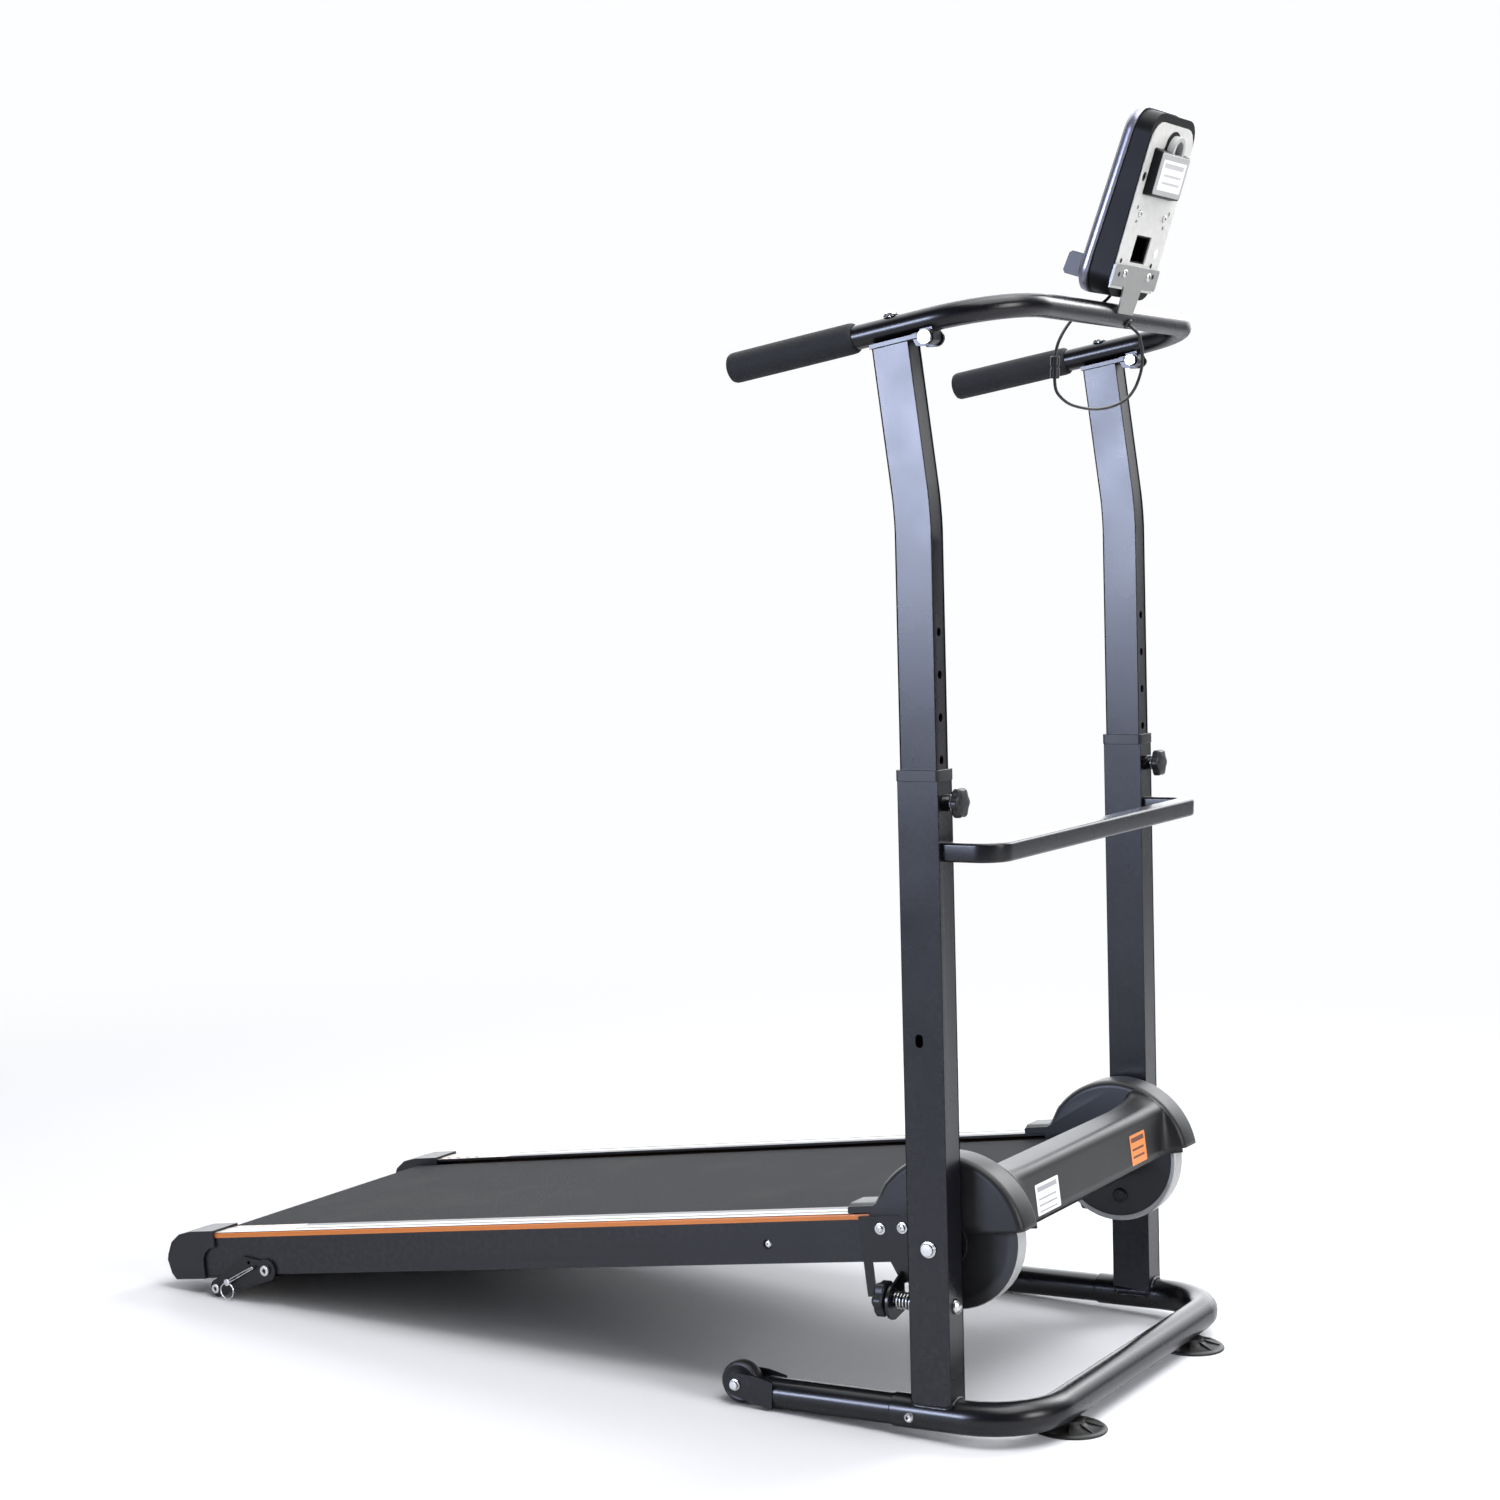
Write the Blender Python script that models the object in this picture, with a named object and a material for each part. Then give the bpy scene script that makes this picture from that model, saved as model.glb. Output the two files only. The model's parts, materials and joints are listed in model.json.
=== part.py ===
"""Manual folding treadmill with twin flywheels, telescoping uprights and a small console.

Units are metres, +Z up, +X to the user's right, +Y to the front of the machine.
The layout is set out from the deck pivot and moved by Y_SHIFT so the footprint is centred.
"""
import math

import bmesh
import bpy
from mathutils import Matrix, Vector

for old in list(bpy.data.objects):
    bpy.data.objects.remove(old, do_unlink=True)

# ---------------------------------------------------------------- driving dimensions
Y_SHIFT = 0.4645            # moves the layout so its footprint is centred on the origin
GAP = 0.0003                # running and assembly clearance between pieces
SIDES = (("right", 1.0), ("left", -1.0))

POST_X = 0.273              # centre of each upright from the middle
POST_LEAN = math.radians(2.6)
POST_FOOT_Y = -0.0164       # upright axis where it meets the floor
LOWER_W, LOWER_D = 0.033, 0.045
LOWER_WALL = 0.0022
LOWER_TOP = 0.691
UPPER_W, UPPER_D = 0.0266, 0.0396
UPPER_WALL = 0.0018
UPPER_BOTTOM, UPPER_TOP = 0.430, 1.1225
UPPER_BEND_AT = 0.955
UPPER_BEND = math.radians(7.2)
HOLE_PITCH = 0.0434
HOLE_R = 0.0046
PIN_AT = 0.6605             # height of the locking pin along the upright
HOLES_ABOVE, HOLES_BELOW = 4, 3
PIN_R = 0.0040

BASE_R = 0.018
BASE_X = 0.275
BASE_FRONT_Y = 0.0875
BASE_FRONT_Z = 0.030
BASE_BEND_R = 0.075
BASE_JOINT_Y = -0.065
LEG_R = 0.015               # end of the leg that slides into the front tube
LEG_OUT_R = 0.0164
LEG_END_Y = -0.222
SOCKET = 0.060
FOOT_R = 0.040
FOOT_X = 0.174
WHEEL_R = 0.0230
WHEEL_W = 0.018
WHEEL_Y = -0.249

BAR_W = 0.020
BAR_AT = 0.6105
BAR_FRONT_Y = 0.034
BAR_BEND_R = 0.022

PIVOT_Y, PIVOT_Z = -0.0247, 0.2007
PIVOT_R = 0.005
DECK_TILT = math.radians(9.17)
RAIL_X = 0.250
RAIL_W = 0.040
RAIL_TOP, RAIL_BOTTOM = 0.032, -0.0196
RAIL_FRONT, RAIL_REAR = -0.085, -1.008
RAIL_WALL = 0.003
BELT_HALF = 0.200
BELT_T = 0.002
DECK_N = 0.024
FRONT_ROLLER_R = 0.024
REAR_ROLLER_R = 0.019
REAR_ROLLER_S, REAR_ROLLER_N = -1.000, 0.005
FLY_R = 0.0755
FLY_IN, FLY_OUT = 0.211, 0.233
CAP_S0, CAP_S1 = -0.975, -1.050
HOOD_R = 0.090
HOOD_WALL = 0.0025
HOOD_IN, HOOD_OUT = 0.207, 0.250
LOCK_AT = 0.140             # height of the fold lock along the upright
FOOT_PIVOT_S, FOOT_PIVOT_N = -0.901, -0.0141
FOOT_ROLL_S, FOOT_ROLL_N = -0.979, -0.0342
FOOT_ROLL_R = 0.0109

HAND_R = 0.0127
HAND_SLOPE = 0.21
HAND_BEND_R = 0.088
HAND_FRONT_Y = 0.0336
HINGE_Y, HINGE_Z = -0.0489, 1.1305
HINGE_V = -0.0038            # hinge axis along the bar from the point above it
SEAT_T = 0.0046
HAND_Z_AT_HINGE = 1.1491
GRIP_R = 0.016
GRIP_Y0, GRIP_Y1 = -0.280, -0.134
LOCK_SCREW_Y = -0.092

CON_TILT = math.radians(16.0)
CON_Y, CON_Z = 0.0508, 1.18345
CON_HALF = 0.061
CON_TALL = 0.196
CON_DEPTH = 0.040            # at the bottom edge; the face leans back as it rises
CON_TAPER = 0.040

# ---------------------------------------------------------------- materials
MATS = {}


def material(name, colour, rough, metal=0.0):
    mat = bpy.data.materials.new(name)
    mat.use_nodes = True
    bsdf = mat.node_tree.nodes["Principled BSDF"]
    bsdf.inputs["Base Color"].default_value = (*colour, 1.0)
    bsdf.inputs["Roughness"].default_value = rough
    bsdf.inputs["Metallic"].default_value = metal
    MATS[name] = mat


material("frame_paint", (0.018, 0.018, 0.022), 0.35, 0.2)
material("zinc", (0.75, 0.75, 0.74), 0.28, 1.0)
material("plate_metal", (0.62, 0.62, 0.60), 0.4, 0.7)
material("black_plastic", (0.02, 0.02, 0.022), 0.45)
material("hood_plastic", (0.03, 0.03, 0.032), 0.38)
material("rubber", (0.015, 0.015, 0.015), 0.8)
material("foam", (0.02, 0.02, 0.02), 0.9)
material("belt", (0.05, 0.05, 0.055), 0.85)
material("board", (0.45, 0.32, 0.2), 0.7)
material("cast_iron", (0.12, 0.12, 0.12), 0.5, 0.8)
material("window", (0.02, 0.03, 0.02), 0.1)
material("door_plastic", (0.55, 0.55, 0.54), 0.45)
material("button_plastic", (0.5, 0.03, 0.02), 0.4)


# ---------------------------------------------------------------- frames of reference
def post(x, along, front=0.0):
    """Point beside an upright: along its axis from the floor, front of its centre line."""
    ca, sa = math.cos(POST_LEAN), math.sin(POST_LEAN)
    return Vector((x, POST_FOOT_Y - along * sa + front * ca, along * ca + front * sa))


def deck(x, s, n):
    """Point on the running deck: s forward of the pivot along the deck, n above it."""
    ca, sa = math.cos(DECK_TILT), math.sin(DECK_TILT)
    return Vector((x, PIVOT_Y + s * ca - n * sa, PIVOT_Z + s * sa + n * ca))


def con(x, p, m):
    """Point on the console: p up its back plane, m from that plane towards the user."""
    ca, sa = math.cos(CON_TILT), math.sin(CON_TILT)
    return Vector((x, CON_Y + p * sa - m * ca, CON_Z + p * ca + m * sa))


def face(x, p, m):
    """Point on the console front, which gets shallower towards the top."""
    return con(x, p, m - CON_TAPER * p)


def base_z(y):
    return BASE_FRONT_Z + math.tan(POST_LEAN) * (y - BASE_FRONT_Y)


def hand_z(y):
    return HAND_Z_AT_HINGE + HAND_SLOPE * (y - HINGE_Y)


DECK_Y = Vector((0.0, math.cos(DECK_TILT), math.sin(DECK_TILT)))
POST_FRONT = Vector((0.0, math.cos(POST_LEAN), math.sin(POST_LEAN)))
POST_UP = Vector((0.0, -math.sin(POST_LEAN), math.cos(POST_LEAN)))
CON_BACK = Vector((0.0, -math.cos(CON_TILT), math.sin(CON_TILT)))
X_AXIS = Vector((1.0, 0.0, 0.0))


# ---------------------------------------------------------------- mesh helpers
def finish(name, bm, mat=None, origin=(0.0, 0.0, 0.0), smooth=0.0):
    """Turn a bmesh into an object whose own origin sits at the given layout point."""
    origin = Vector(origin)
    bmesh.ops.remove_doubles(bm, verts=bm.verts, dist=1e-6)
    bmesh.ops.recalc_face_normals(bm, faces=bm.faces)
    bmesh.ops.translate(bm, verts=bm.verts, vec=-origin)
    mesh = bpy.data.meshes.new(name)
    bm.to_mesh(mesh)
    bm.free()
    if smooth:
        mesh.shade_smooth()
        mesh.set_sharp_from_angle(angle=smooth)
    obj = bpy.data.objects.new(name, mesh)
    obj.location = origin + Vector((0.0, Y_SHIFT, 0.0))
    bpy.context.scene.collection.objects.link(obj)
    if mat:
        mesh.materials.append(MATS[mat])
    return obj


def loops(bm, rings, closed=False):
    """Skin a list of equal rings of points, capping the ends unless the run is closed."""
    made = [[bm.verts.new(p) for p in ring] for ring in rings]
    count = len(made[0])
    pairs = list(zip(made, made[1:]))
    if closed:
        pairs.append((made[-1], made[0]))
    for low, high in pairs:
        for i in range(count):
            j = (i + 1) % count
            bm.faces.new((low[i], low[j], high[j], high[i]))
    if not closed:
        bm.faces.new(made[0][::-1])
        bm.faces.new(made[-1])


def prism(bm, outline, place, a, b):
    """Extrude a flat outline between a and b; place(u, v, w) gives the 3-D point."""
    loops(bm, [[place(u, v, w) for u, v in outline] for w in (a, b)])


def box(bm, place, u, v, w):
    corners = ((u[0], v[0]), (u[1], v[0]), (u[1], v[1]), (u[0], v[1]))
    prism(bm, corners, place, w[0], w[1])


def frame_of(axis):
    axis = Vector(axis).normalized()
    side = X_AXIS if abs(axis.x) < 0.9 else Vector((0.0, 1.0, 0.0))
    u = (side - axis * side.dot(axis)).normalized()
    return u, axis.cross(u), axis


def turned(bm, profile, centre, axis, seg, closed=False):
    """Revolve (radius, height) points about an axis; a radius of 0 closes on the axis."""
    u, v, w = frame_of(axis)
    centre = Vector(centre)
    rings = []
    for r, h in profile:
        if r <= 0.0:
            rings.append([bm.verts.new(centre + w * h)])
            continue
        ring = []
        for i in range(seg):
            t = 2.0 * math.pi * i / seg
            ring.append(bm.verts.new(centre + w * h + (u * math.cos(t) + v * math.sin(t)) * r))
        rings.append(ring)
    pairs = list(zip(rings, rings[1:]))
    if closed:
        pairs.append((rings[-1], rings[0]))
    for low, high in pairs:
        for i in range(seg):
            j = (i + 1) % seg
            if len(low) == 1:
                bm.faces.new((low[0], high[j], high[i]))
            elif len(high) == 1:
                bm.faces.new((low[i], low[j], high[0]))
            else:
                bm.faces.new((low[i], low[j], high[j], high[i]))


def rod(bm, a, b, r, seg=16):
    a, b = Vector(a), Vector(b)
    length = (b - a).length
    turned(bm, ((0.0, 0.0), (r, 0.0), (r, length), (0.0, length)), a, b - a, seg)


def rounded(half_u, half_v, r, steps=3, cu=0.0, cv=0.0):
    """Rounded rectangle outline about (cu, cv)."""
    pts = []
    for k, (su, sv) in enumerate(((1, 1), (-1, 1), (-1, -1), (1, -1))):
        for i in range(steps + 1):
            t = math.pi / 2 * (k + i / steps)
            pu = cu + su * (half_u - r) + r * math.cos(t)
            pv = cv + sv * (half_v - r) + r * math.sin(t)
            pts.append((pu, pv))
    return pts


def arc(cu, cv, r, a0, a1, steps):
    pts = []
    for i in range(steps + 1):
        t = math.radians(a0 + (a1 - a0) * i / steps)
        pts.append((cu + r * math.cos(t), cv + r * math.sin(t)))
    return pts


def bent_path(corners, radius, steps):
    """Straight runs through the corners, with each inner corner rounded to the radius."""
    corners = [Vector(c) for c in corners]
    path = [corners[0]]
    for a, b, c in zip(corners, corners[1:], corners[2:]):
        into, out = (b - a).normalized(), (c - b).normalized()
        turn = into.angle(out)
        back = radius * math.tan(turn / 2)
        start = b - into * back
        normal = (out - into * out.dot(into)).normalized()
        hub = start + normal * radius
        for i in range(steps + 1):
            t = turn * i / steps
            path.append(hub - normal * radius * math.cos(t) + into * radius * math.sin(t))
    path.append(corners[-1])
    return path


def along(path, section, flat=(0.0, 0.0, 1.0)):
    """Rings of a section carried along a path, its second axis kept near `flat`."""
    rings = []
    for i, p in enumerate(path):
        before = path[i] - path[i - 1] if i else path[1] - path[0]
        after = path[i + 1] - path[i] if i + 1 < len(path) else before
        d = (before.normalized() + after.normalized()).normalized()
        up = Vector(flat)
        v = (up - d * up.dot(d)).normalized()
        u = d.cross(v)
        rings.append([p + u * a + v * b for a, b in section])
    return rings


def circle(r, seg):
    return [(r * math.cos(2 * math.pi * i / seg), r * math.sin(2 * math.pi * i / seg))
            for i in range(seg)]


def tool(name, build):
    """A cutting or joining shape, kept out of the finished assembly."""
    bm = bmesh.new()
    build(bm)
    obj = finish(name, bm)
    obj.hide_render = True
    obj.display_type = "WIRE"
    return obj


def boolean(obj, other, kind):
    mod = obj.modifiers.new(kind.lower(), "BOOLEAN")
    mod.operation = kind
    mod.solver = "EXACT"
    mod.object = other


def cut(obj, name, build):
    boolean(obj, tool("cut_" + name, build), "DIFFERENCE")


def weld(obj, name, build):
    boolean(obj, tool("weld_" + name, build), "UNION")


def star_knob(bm, place, radius, levels):
    """Six-lobed hand knob; levels are (share of the radius, distance along the axis)."""
    rings = []
    for share, w in levels:
        ring = []
        for i in range(48):
            t = 2 * math.pi * i / 48
            r = share * radius * (0.925 + 0.075 * math.cos(6 * t))
            ring.append(place(r * math.cos(t), r * math.sin(t), w))
        rings.append(ring)
    loops(bm, rings)


SMOOTH = math.radians(35)

# ---------------------------------------------------------------- base frame
bm = bmesh.new()
corners = [(BASE_X, BASE_JOINT_Y, base_z(BASE_JOINT_Y)),
           (BASE_X, BASE_FRONT_Y, BASE_FRONT_Z),
           (-BASE_X, BASE_FRONT_Y, BASE_FRONT_Z),
           (-BASE_X, BASE_JOINT_Y, base_z(BASE_JOINT_Y))]
loops(bm, along(bent_path(corners, BASE_BEND_R, 7), circle(BASE_R, 20)))
base = finish("base_front_tube", bm, "frame_paint", smooth=SMOOTH)
for side, k in SIDES:
    def sockets(bm, k=k):
        rear = Vector((k * BASE_X, BASE_JOINT_Y, base_z(BASE_JOINT_Y)))
        rod(bm, rear - POST_FRONT * 0.01, rear + POST_FRONT * SOCKET, LEG_R + GAP, 20)
    cut(base, "socket_" + side, sockets)

for side, k in SIDES:
    # rear leg with its wheel fork
    bm = bmesh.new()
    start = Vector((k * BASE_X, BASE_JOINT_Y, base_z(BASE_JOINT_Y))) + POST_FRONT * (SOCKET - 0.004)
    end = Vector((k * BASE_X, LEG_END_Y, base_z(LEG_END_Y)))
    span = (end - start).length
    turned(bm, ((0.0, 0.0), (LEG_R, 0.0), (LEG_R, SOCKET - 0.0035), (LEG_OUT_R - 0.001, SOCKET - 0.0035),
                (LEG_OUT_R, SOCKET - 0.0020), (LEG_OUT_R, span), (0.0, span)),
           start, (end - start).normalized(), 20)
    leg = finish("base_leg_" + side, bm, "frame_paint", smooth=SMOOTH)

    def fork(bm, k=k):
        xin, xout = k * BASE_X - 0.0145, k * BASE_X + 0.0145
        mid = LEG_END_Y - 0.004
        top = base_z(LEG_END_Y)
        side_plate = [(-0.204, top + 0.0155), (-0.204, top - 0.0125), (mid + 0.004, 0.0050)]
        side_plate += arc(WHEEL_Y, WHEEL_R, 0.0125, 262, 92, 7)
        side_plate += [(mid, WHEEL_R + 0.0125)]
        for lo, hi in ((xin - 0.0025, xin), (xout, xout + 0.0025)):
            prism(bm, side_plate, lambda u, v, w: Vector((w, u, v)), lo, hi)

    def web(bm, k=k):
        top = base_z(LEG_END_Y)
        box(bm, lambda u, v, w: Vector((u, v, w)),
            (k * BASE_X - 0.0155, k * BASE_X + 0.0155), (-0.2225, -0.2065), (top - 0.0115, top + 0.0135))

    def axle_hole(bm, k=k):
        rod(bm, (k * BASE_X - 0.03, WHEEL_Y, WHEEL_R), (k * BASE_X + 0.03, WHEEL_Y, WHEEL_R), 0.0043, 12)
    weld(leg, "web_" + side, web)
    weld(leg, "fork_" + side, fork)
    cut(leg, "axle_" + side, axle_hole)

    # transport wheel and its bolt
    bm = bmesh.new()
    hw = WHEEL_W / 2
    ring = [(0.0043, -hw), (0.011, -hw), (0.012, -hw + 0.002), (0.0175, -hw + 0.002), (0.0185, -hw),
            (0.0215, -hw + 0.001), (WHEEL_R, -hw + 0.004), (WHEEL_R, hw - 0.004), (0.0215, hw - 0.001),
            (0.0185, hw), (0.0175, hw - 0.002), (0.012, hw - 0.002), (0.011, hw), (0.0043, hw)]
    hub = (k * BASE_X, WHEEL_Y, WHEEL_R)
    turned(bm, ring, hub, X_AXIS, 28, closed=True)
    finish("wheel_" + side, bm, "black_plastic", hub, SMOOTH)

    bm = bmesh.new()
    head = 0.0145 + 0.0025 + GAP
    turned(bm, ((0.0, -head - 0.004), (0.0055, -head - 0.004), (0.0055, -head), (0.0040, -head),
                (0.0040, head), (0.0062, head), (0.0062, head + 0.0012), (0.0050, head + 0.0016),
                (0.0046, head + 0.0045), (0.0, head + 0.0050)),
           hub, X_AXIS * k, 12)
    finish("wheel_bolt_" + side, bm, "zinc", smooth=SMOOTH)

    # suction foot under the front tube
    bm = bmesh.new()
    at = (k * FOOT_X, BASE_FRONT_Y, 0.0)
    top = BASE_FRONT_Z - BASE_R - GAP
    turned(bm, ((0.0, 0.0018), (0.030, 0.0018), (0.032, 0.0), (FOOT_R, 0.0), (FOOT_R, 0.0022),
                (0.037, 0.0036), (0.020, 0.0062), (0.015, 0.0085), (0.015, top), (0.0, top)),
           at, (0, 0, 1), 32)
    finish("suction_foot_" + side, bm, "rubber", smooth=SMOOTH)

# ---------------------------------------------------------------- uprights
for side, k in SIDES:
    x = k * POST_X
    place = lambda u, v, w, x=x: post(x + u, w, v)
    bm = bmesh.new()
    prism(bm, rounded(LOWER_W / 2, LOWER_D / 2, 0.003, 2), place, 0.026, LOWER_TOP)
    lower = finish("lower_post_" + side, bm, "frame_paint", smooth=SMOOTH)

    def nut(bm, x=x):
        turned(bm, ((0.0, LOWER_D / 2 - 0.001), (0.0095, LOWER_D / 2 - 0.001), (0.0095, LOWER_D / 2 + 0.008),
                    (0.0, LOWER_D / 2 + 0.008)), post(x, PIN_AT), POST_FRONT, 6)

    def bore(bm, place=place):
        prism(bm, rounded(LOWER_W / 2 - LOWER_WALL, LOWER_D / 2 - LOWER_WALL, 0.0015, 1),
              place, 0.010, LOWER_TOP + 0.01)

    def cope(bm, k=k):
        here = Vector((k * BASE_X, POST_FOOT_Y, base_z(POST_FOOT_Y)))
        rod(bm, here - POST_FRONT * 0.04, here + POST_FRONT * 0.04, BASE_R + GAP, 20)

    def holes(bm, x=x, k=k):
        rod(bm, post(x, PIN_AT, 0.010), post(x, PIN_AT, 0.035), PIN_R + GAP, 12)
        rod(bm, post(x, LOCK_AT, -0.030), post(x, LOCK_AT, 0.030), 0.0050 + GAP, 12)
        pivot = Vector((x, PIVOT_Y, PIVOT_Z))
        rod(bm, pivot - X_AXIS * 0.025, pivot + X_AXIS * 0.025, PIVOT_R + GAP, 14)
        slot = rounded(0.0044, 0.0070, 0.0042, 3)
        slot_at = lambda u, v, w, x=x, k=k: post(x + k * w, 0.4165 + v, -0.0045 + u)
        prism(bm, slot, slot_at, 0.008, 0.025)
    weld(lower, "nut_" + side, nut)
    cut(lower, "bore_" + side, bore)
    cut(lower, "cope_" + side, cope)
    cut(lower, "holes_" + side, holes)

    # guide collar closing the top of the lower tube
    bm = bmesh.new()
    outer = rounded(0.0187, 0.0245, 0.004, 2)
    mouth = rounded(UPPER_W / 2 + GAP, UPPER_D / 2 + GAP, 0.002, 2)
    seat = rounded(LOWER_W / 2 + GAP, LOWER_D / 2 + GAP, 0.0032, 2)
    lip, low, high = LOWER_TOP + GAP, LOWER_TOP - 0.008, LOWER_TOP + 0.0035
    rings = [[place(u, v, h) for u, v in shape] for shape, h in
             ((seat, low), (outer, low), (outer, high), (mouth, high), (mouth, lip), (seat, lip))]
    loops(bm, rings, closed=True)
    finish("post_collar_" + side, bm, "black_plastic", smooth=SMOOTH)

    # height knob: star knob on a locking pin that stops at the face of the sliding tube
    bm = bmesh.new()
    mouth_at = LOWER_D / 2 + 0.008 + GAP
    here = post(x, PIN_AT)
    tip = UPPER_D / 2 + 0.0004
    turned(bm, ((0.0, tip), (PIN_R, tip), (PIN_R, mouth_at), (0.0075, mouth_at),
                (0.0075, mouth_at + 0.0060), (0.0, mouth_at + 0.0060)), here, POST_FRONT, 20)
    height_knob = finish("height_knob_" + side, bm, "black_plastic", post(x, PIN_AT, mouth_at), SMOOTH)
    weld(height_knob, "height_star_" + side, lambda bm, x=x, mouth_at=mouth_at: star_knob(
        bm, lambda u, v, w: post(x + u, PIN_AT + v, w), 0.0165,
        ((0.88, mouth_at + 0.0040), (1.0, mouth_at + 0.0056), (1.0, mouth_at + 0.0112),
         (0.90, mouth_at + 0.0130), (0.40, mouth_at + 0.0145))))

    # pivot bolt through the upright
    bm = bmesh.new()
    out = LOWER_W / 2 + GAP
    turned(bm, ((0.0, -0.0270), (PIVOT_R, -0.0270), (PIVOT_R, out), (0.0088, out), (0.0088, out + 0.0014),
                (0.0070, out + 0.0018), (0.0066, out + 0.0052), (0.0, out + 0.0058)),
           (x, PIVOT_Y, PIVOT_Z), X_AXIS * k, 16)
    finish("pivot_bolt_" + side, bm, "zinc", smooth=SMOOTH)

    # carriage bolt that receives the fold-lock pin
    bm = bmesh.new()
    front = LOWER_D / 2 + GAP
    turned(bm, ((0.0, -0.0190), (0.0050, -0.0190), (0.0050, front), (0.0082, front), (0.0078, front + 0.0022),
                (0.0058, front + 0.0044), (0.0028, front + 0.0056), (0.0, front + 0.0058)),
           post(x, LOCK_AT), POST_FRONT, 16)
    finish("lock_bolt_" + side, bm, "zinc", smooth=SMOOTH)

# bar joining the fronts of the two uprights
bm = bmesh.new()
root = LOWER_D / 2 + GAP
rise = math.tan(POST_LEAN)
y0, z0 = post(0, BAR_AT, root).y, post(0, BAR_AT, root).z
zf = z0 + (BAR_FRONT_Y - y0) * rise
corners = [(POST_X, y0, z0), (POST_X, BAR_FRONT_Y, zf), (-POST_X, BAR_FRONT_Y, zf), (-POST_X, y0, z0)]
section = rounded(BAR_W / 2, BAR_W / 2, 0.003, 2)
loops(bm, along(bent_path(corners, BAR_BEND_R, 6), section))
finish("crossbar", bm, "frame_paint", smooth=SMOOTH)

# ---------------------------------------------------------------- sliding mast
for side, k in SIDES:
    x = k * POST_X
    spine = [post(x, UPPER_BOTTOM), post(x, UPPER_BEND_AT - 0.030)]
    turn_steps = 5
    for i in range(1, turn_steps + 1):
        t = UPPER_BEND * (i - 0.5) / turn_steps
        d = POST_UP * math.cos(t) - POST_FRONT * math.sin(t)
        spine.append(spine[-1] + d * 0.060 / turn_steps)
    t = UPPER_BEND
    d = POST_UP * math.cos(t) - POST_FRONT * math.sin(t)
    spine.append(spine[-1] + d * (UPPER_TOP - UPPER_BEND_AT - 0.030))
    top, mast_up = spine[-1], d
    mast_front = mast_up.cross(X_AXIS) * -1.0
    outer = rounded(UPPER_W / 2, UPPER_D / 2, 0.0025, 2)
    inner = rounded(UPPER_W / 2 - UPPER_WALL, UPPER_D / 2 - UPPER_WALL, 0.0012, 2)
    bm = bmesh.new()
    seat_dir = Vector((0.0, 1.0, HAND_SLOPE)).normalized()
    seat_up = Vector((0.0, -HAND_SLOPE, 1.0)).normalized()
    under = Vector((x, HINGE_Y, HAND_Z_AT_HINGE)) - seat_up * (HAND_R + GAP)
    lid = under - seat_up * (SEAT_T + GAP)
    skins = []
    for shape in (outer, inner):
        rows = []
        for i, p in enumerate(spine):
            before = (spine[i] - spine[i - 1]) if i else (spine[1] - spine[0])
            after = (spine[i + 1] - spine[i]) if i + 1 < len(spine) else before
            w = (before.normalized() + after.normalized()).normalized()
            fwd = (POST_FRONT - w * POST_FRONT.dot(w)).normalized()
            rows.append([p + X_AXIS * u + fwd * v for u, v in shape])
        rows[-1] = [q + d * ((lid - q).dot(seat_up) / d.dot(seat_up)) for q in rows[-1]]
        skins.append(rows)
    loops(bm, skins[0] + skins[1][::-1], closed=True)
    upper = finish("upper_post_" + side, bm, "frame_paint", smooth=SMOOTH)

    def pin_holes(bm, x=x):
        for i in range(-HOLES_BELOW, HOLES_ABOVE + 1):
            h = PIN_AT + i * HOLE_PITCH
            rod(bm, post(x, h, 0.010), post(x, h, 0.030), HOLE_R, 12)
    cut(upper, "pin_holes_" + side, pin_holes)

    # saddle: seat plate on top of the mast with two hinge ears in front
    def seat_at(u, v, w, under=under, seat_dir=seat_dir, seat_up=seat_up):
        return under + X_AXIS * u + seat_dir * v + seat_up * w
    bm = bmesh.new()
    box(bm, seat_at, (-0.0165, 0.0165), (-0.0665, -0.0115), (-SEAT_T, 0.0))
    saddle = finish("post_saddle_" + side, bm, "frame_paint", smooth=SMOOTH)
    ear = [(-0.0190, -0.0040), (-0.0190, 0.0012), (-0.0080, 0.0012)]
    ear += arc(HINGE_V, -0.0052, 0.0088, 75, -105, 8)
    ear += [(-0.0160, -0.0120)]

    def ears(bm, seat_at=seat_at, ear=ear):
        for lo, hi in ((-0.0133, -0.0103), (0.0103, 0.0133)):
            prism(bm, ear, lambda u, v, w: seat_at(w, u, v), lo, hi)

    def ear_hole(bm, x=x):
        rod(bm, (x - 0.03, HINGE_Y, HINGE_Z), (x + 0.03, HINGE_Y, HINGE_Z), 0.0043, 12)
    weld(saddle, "ears_" + side, ears)
    cut(saddle, "ear_hole_" + side, ear_hole)

    bm = bmesh.new()
    out = 0.0133 + GAP
    turned(bm, ((0.0, -out - 0.005), (0.0065, -out - 0.005), (0.0065, -out), (0.0040, -out), (0.0040, out),
                (0.0075, out), (0.0075, out + 0.0045), (0.0, out + 0.0052)),
           (x, HINGE_Y, HINGE_Z), X_AXIS * k, 12)
    finish("hinge_bolt_" + side, bm, "zinc", smooth=SMOOTH)

# ---------------------------------------------------------------- handlebar
bm = bmesh.new()
front = (HAND_FRONT_Y, hand_z(HAND_FRONT_Y))
tail = GRIP_Y0 + 0.005
corners = [(POST_X, tail, hand_z(tail)), (POST_X, *front), (-POST_X, *front), (-POST_X, tail, hand_z(tail))]
plane_up = Vector((0.0, -HAND_SLOPE, 1.0)).normalized()
loops(bm, along(bent_path(corners, HAND_BEND_R, 9), circle(HAND_R, 18), plane_up))
hinge = (0.0, HINGE_Y, HINGE_Z)
handle = finish("handlebar_tube", bm, "frame_paint", hinge, SMOOTH)


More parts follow.
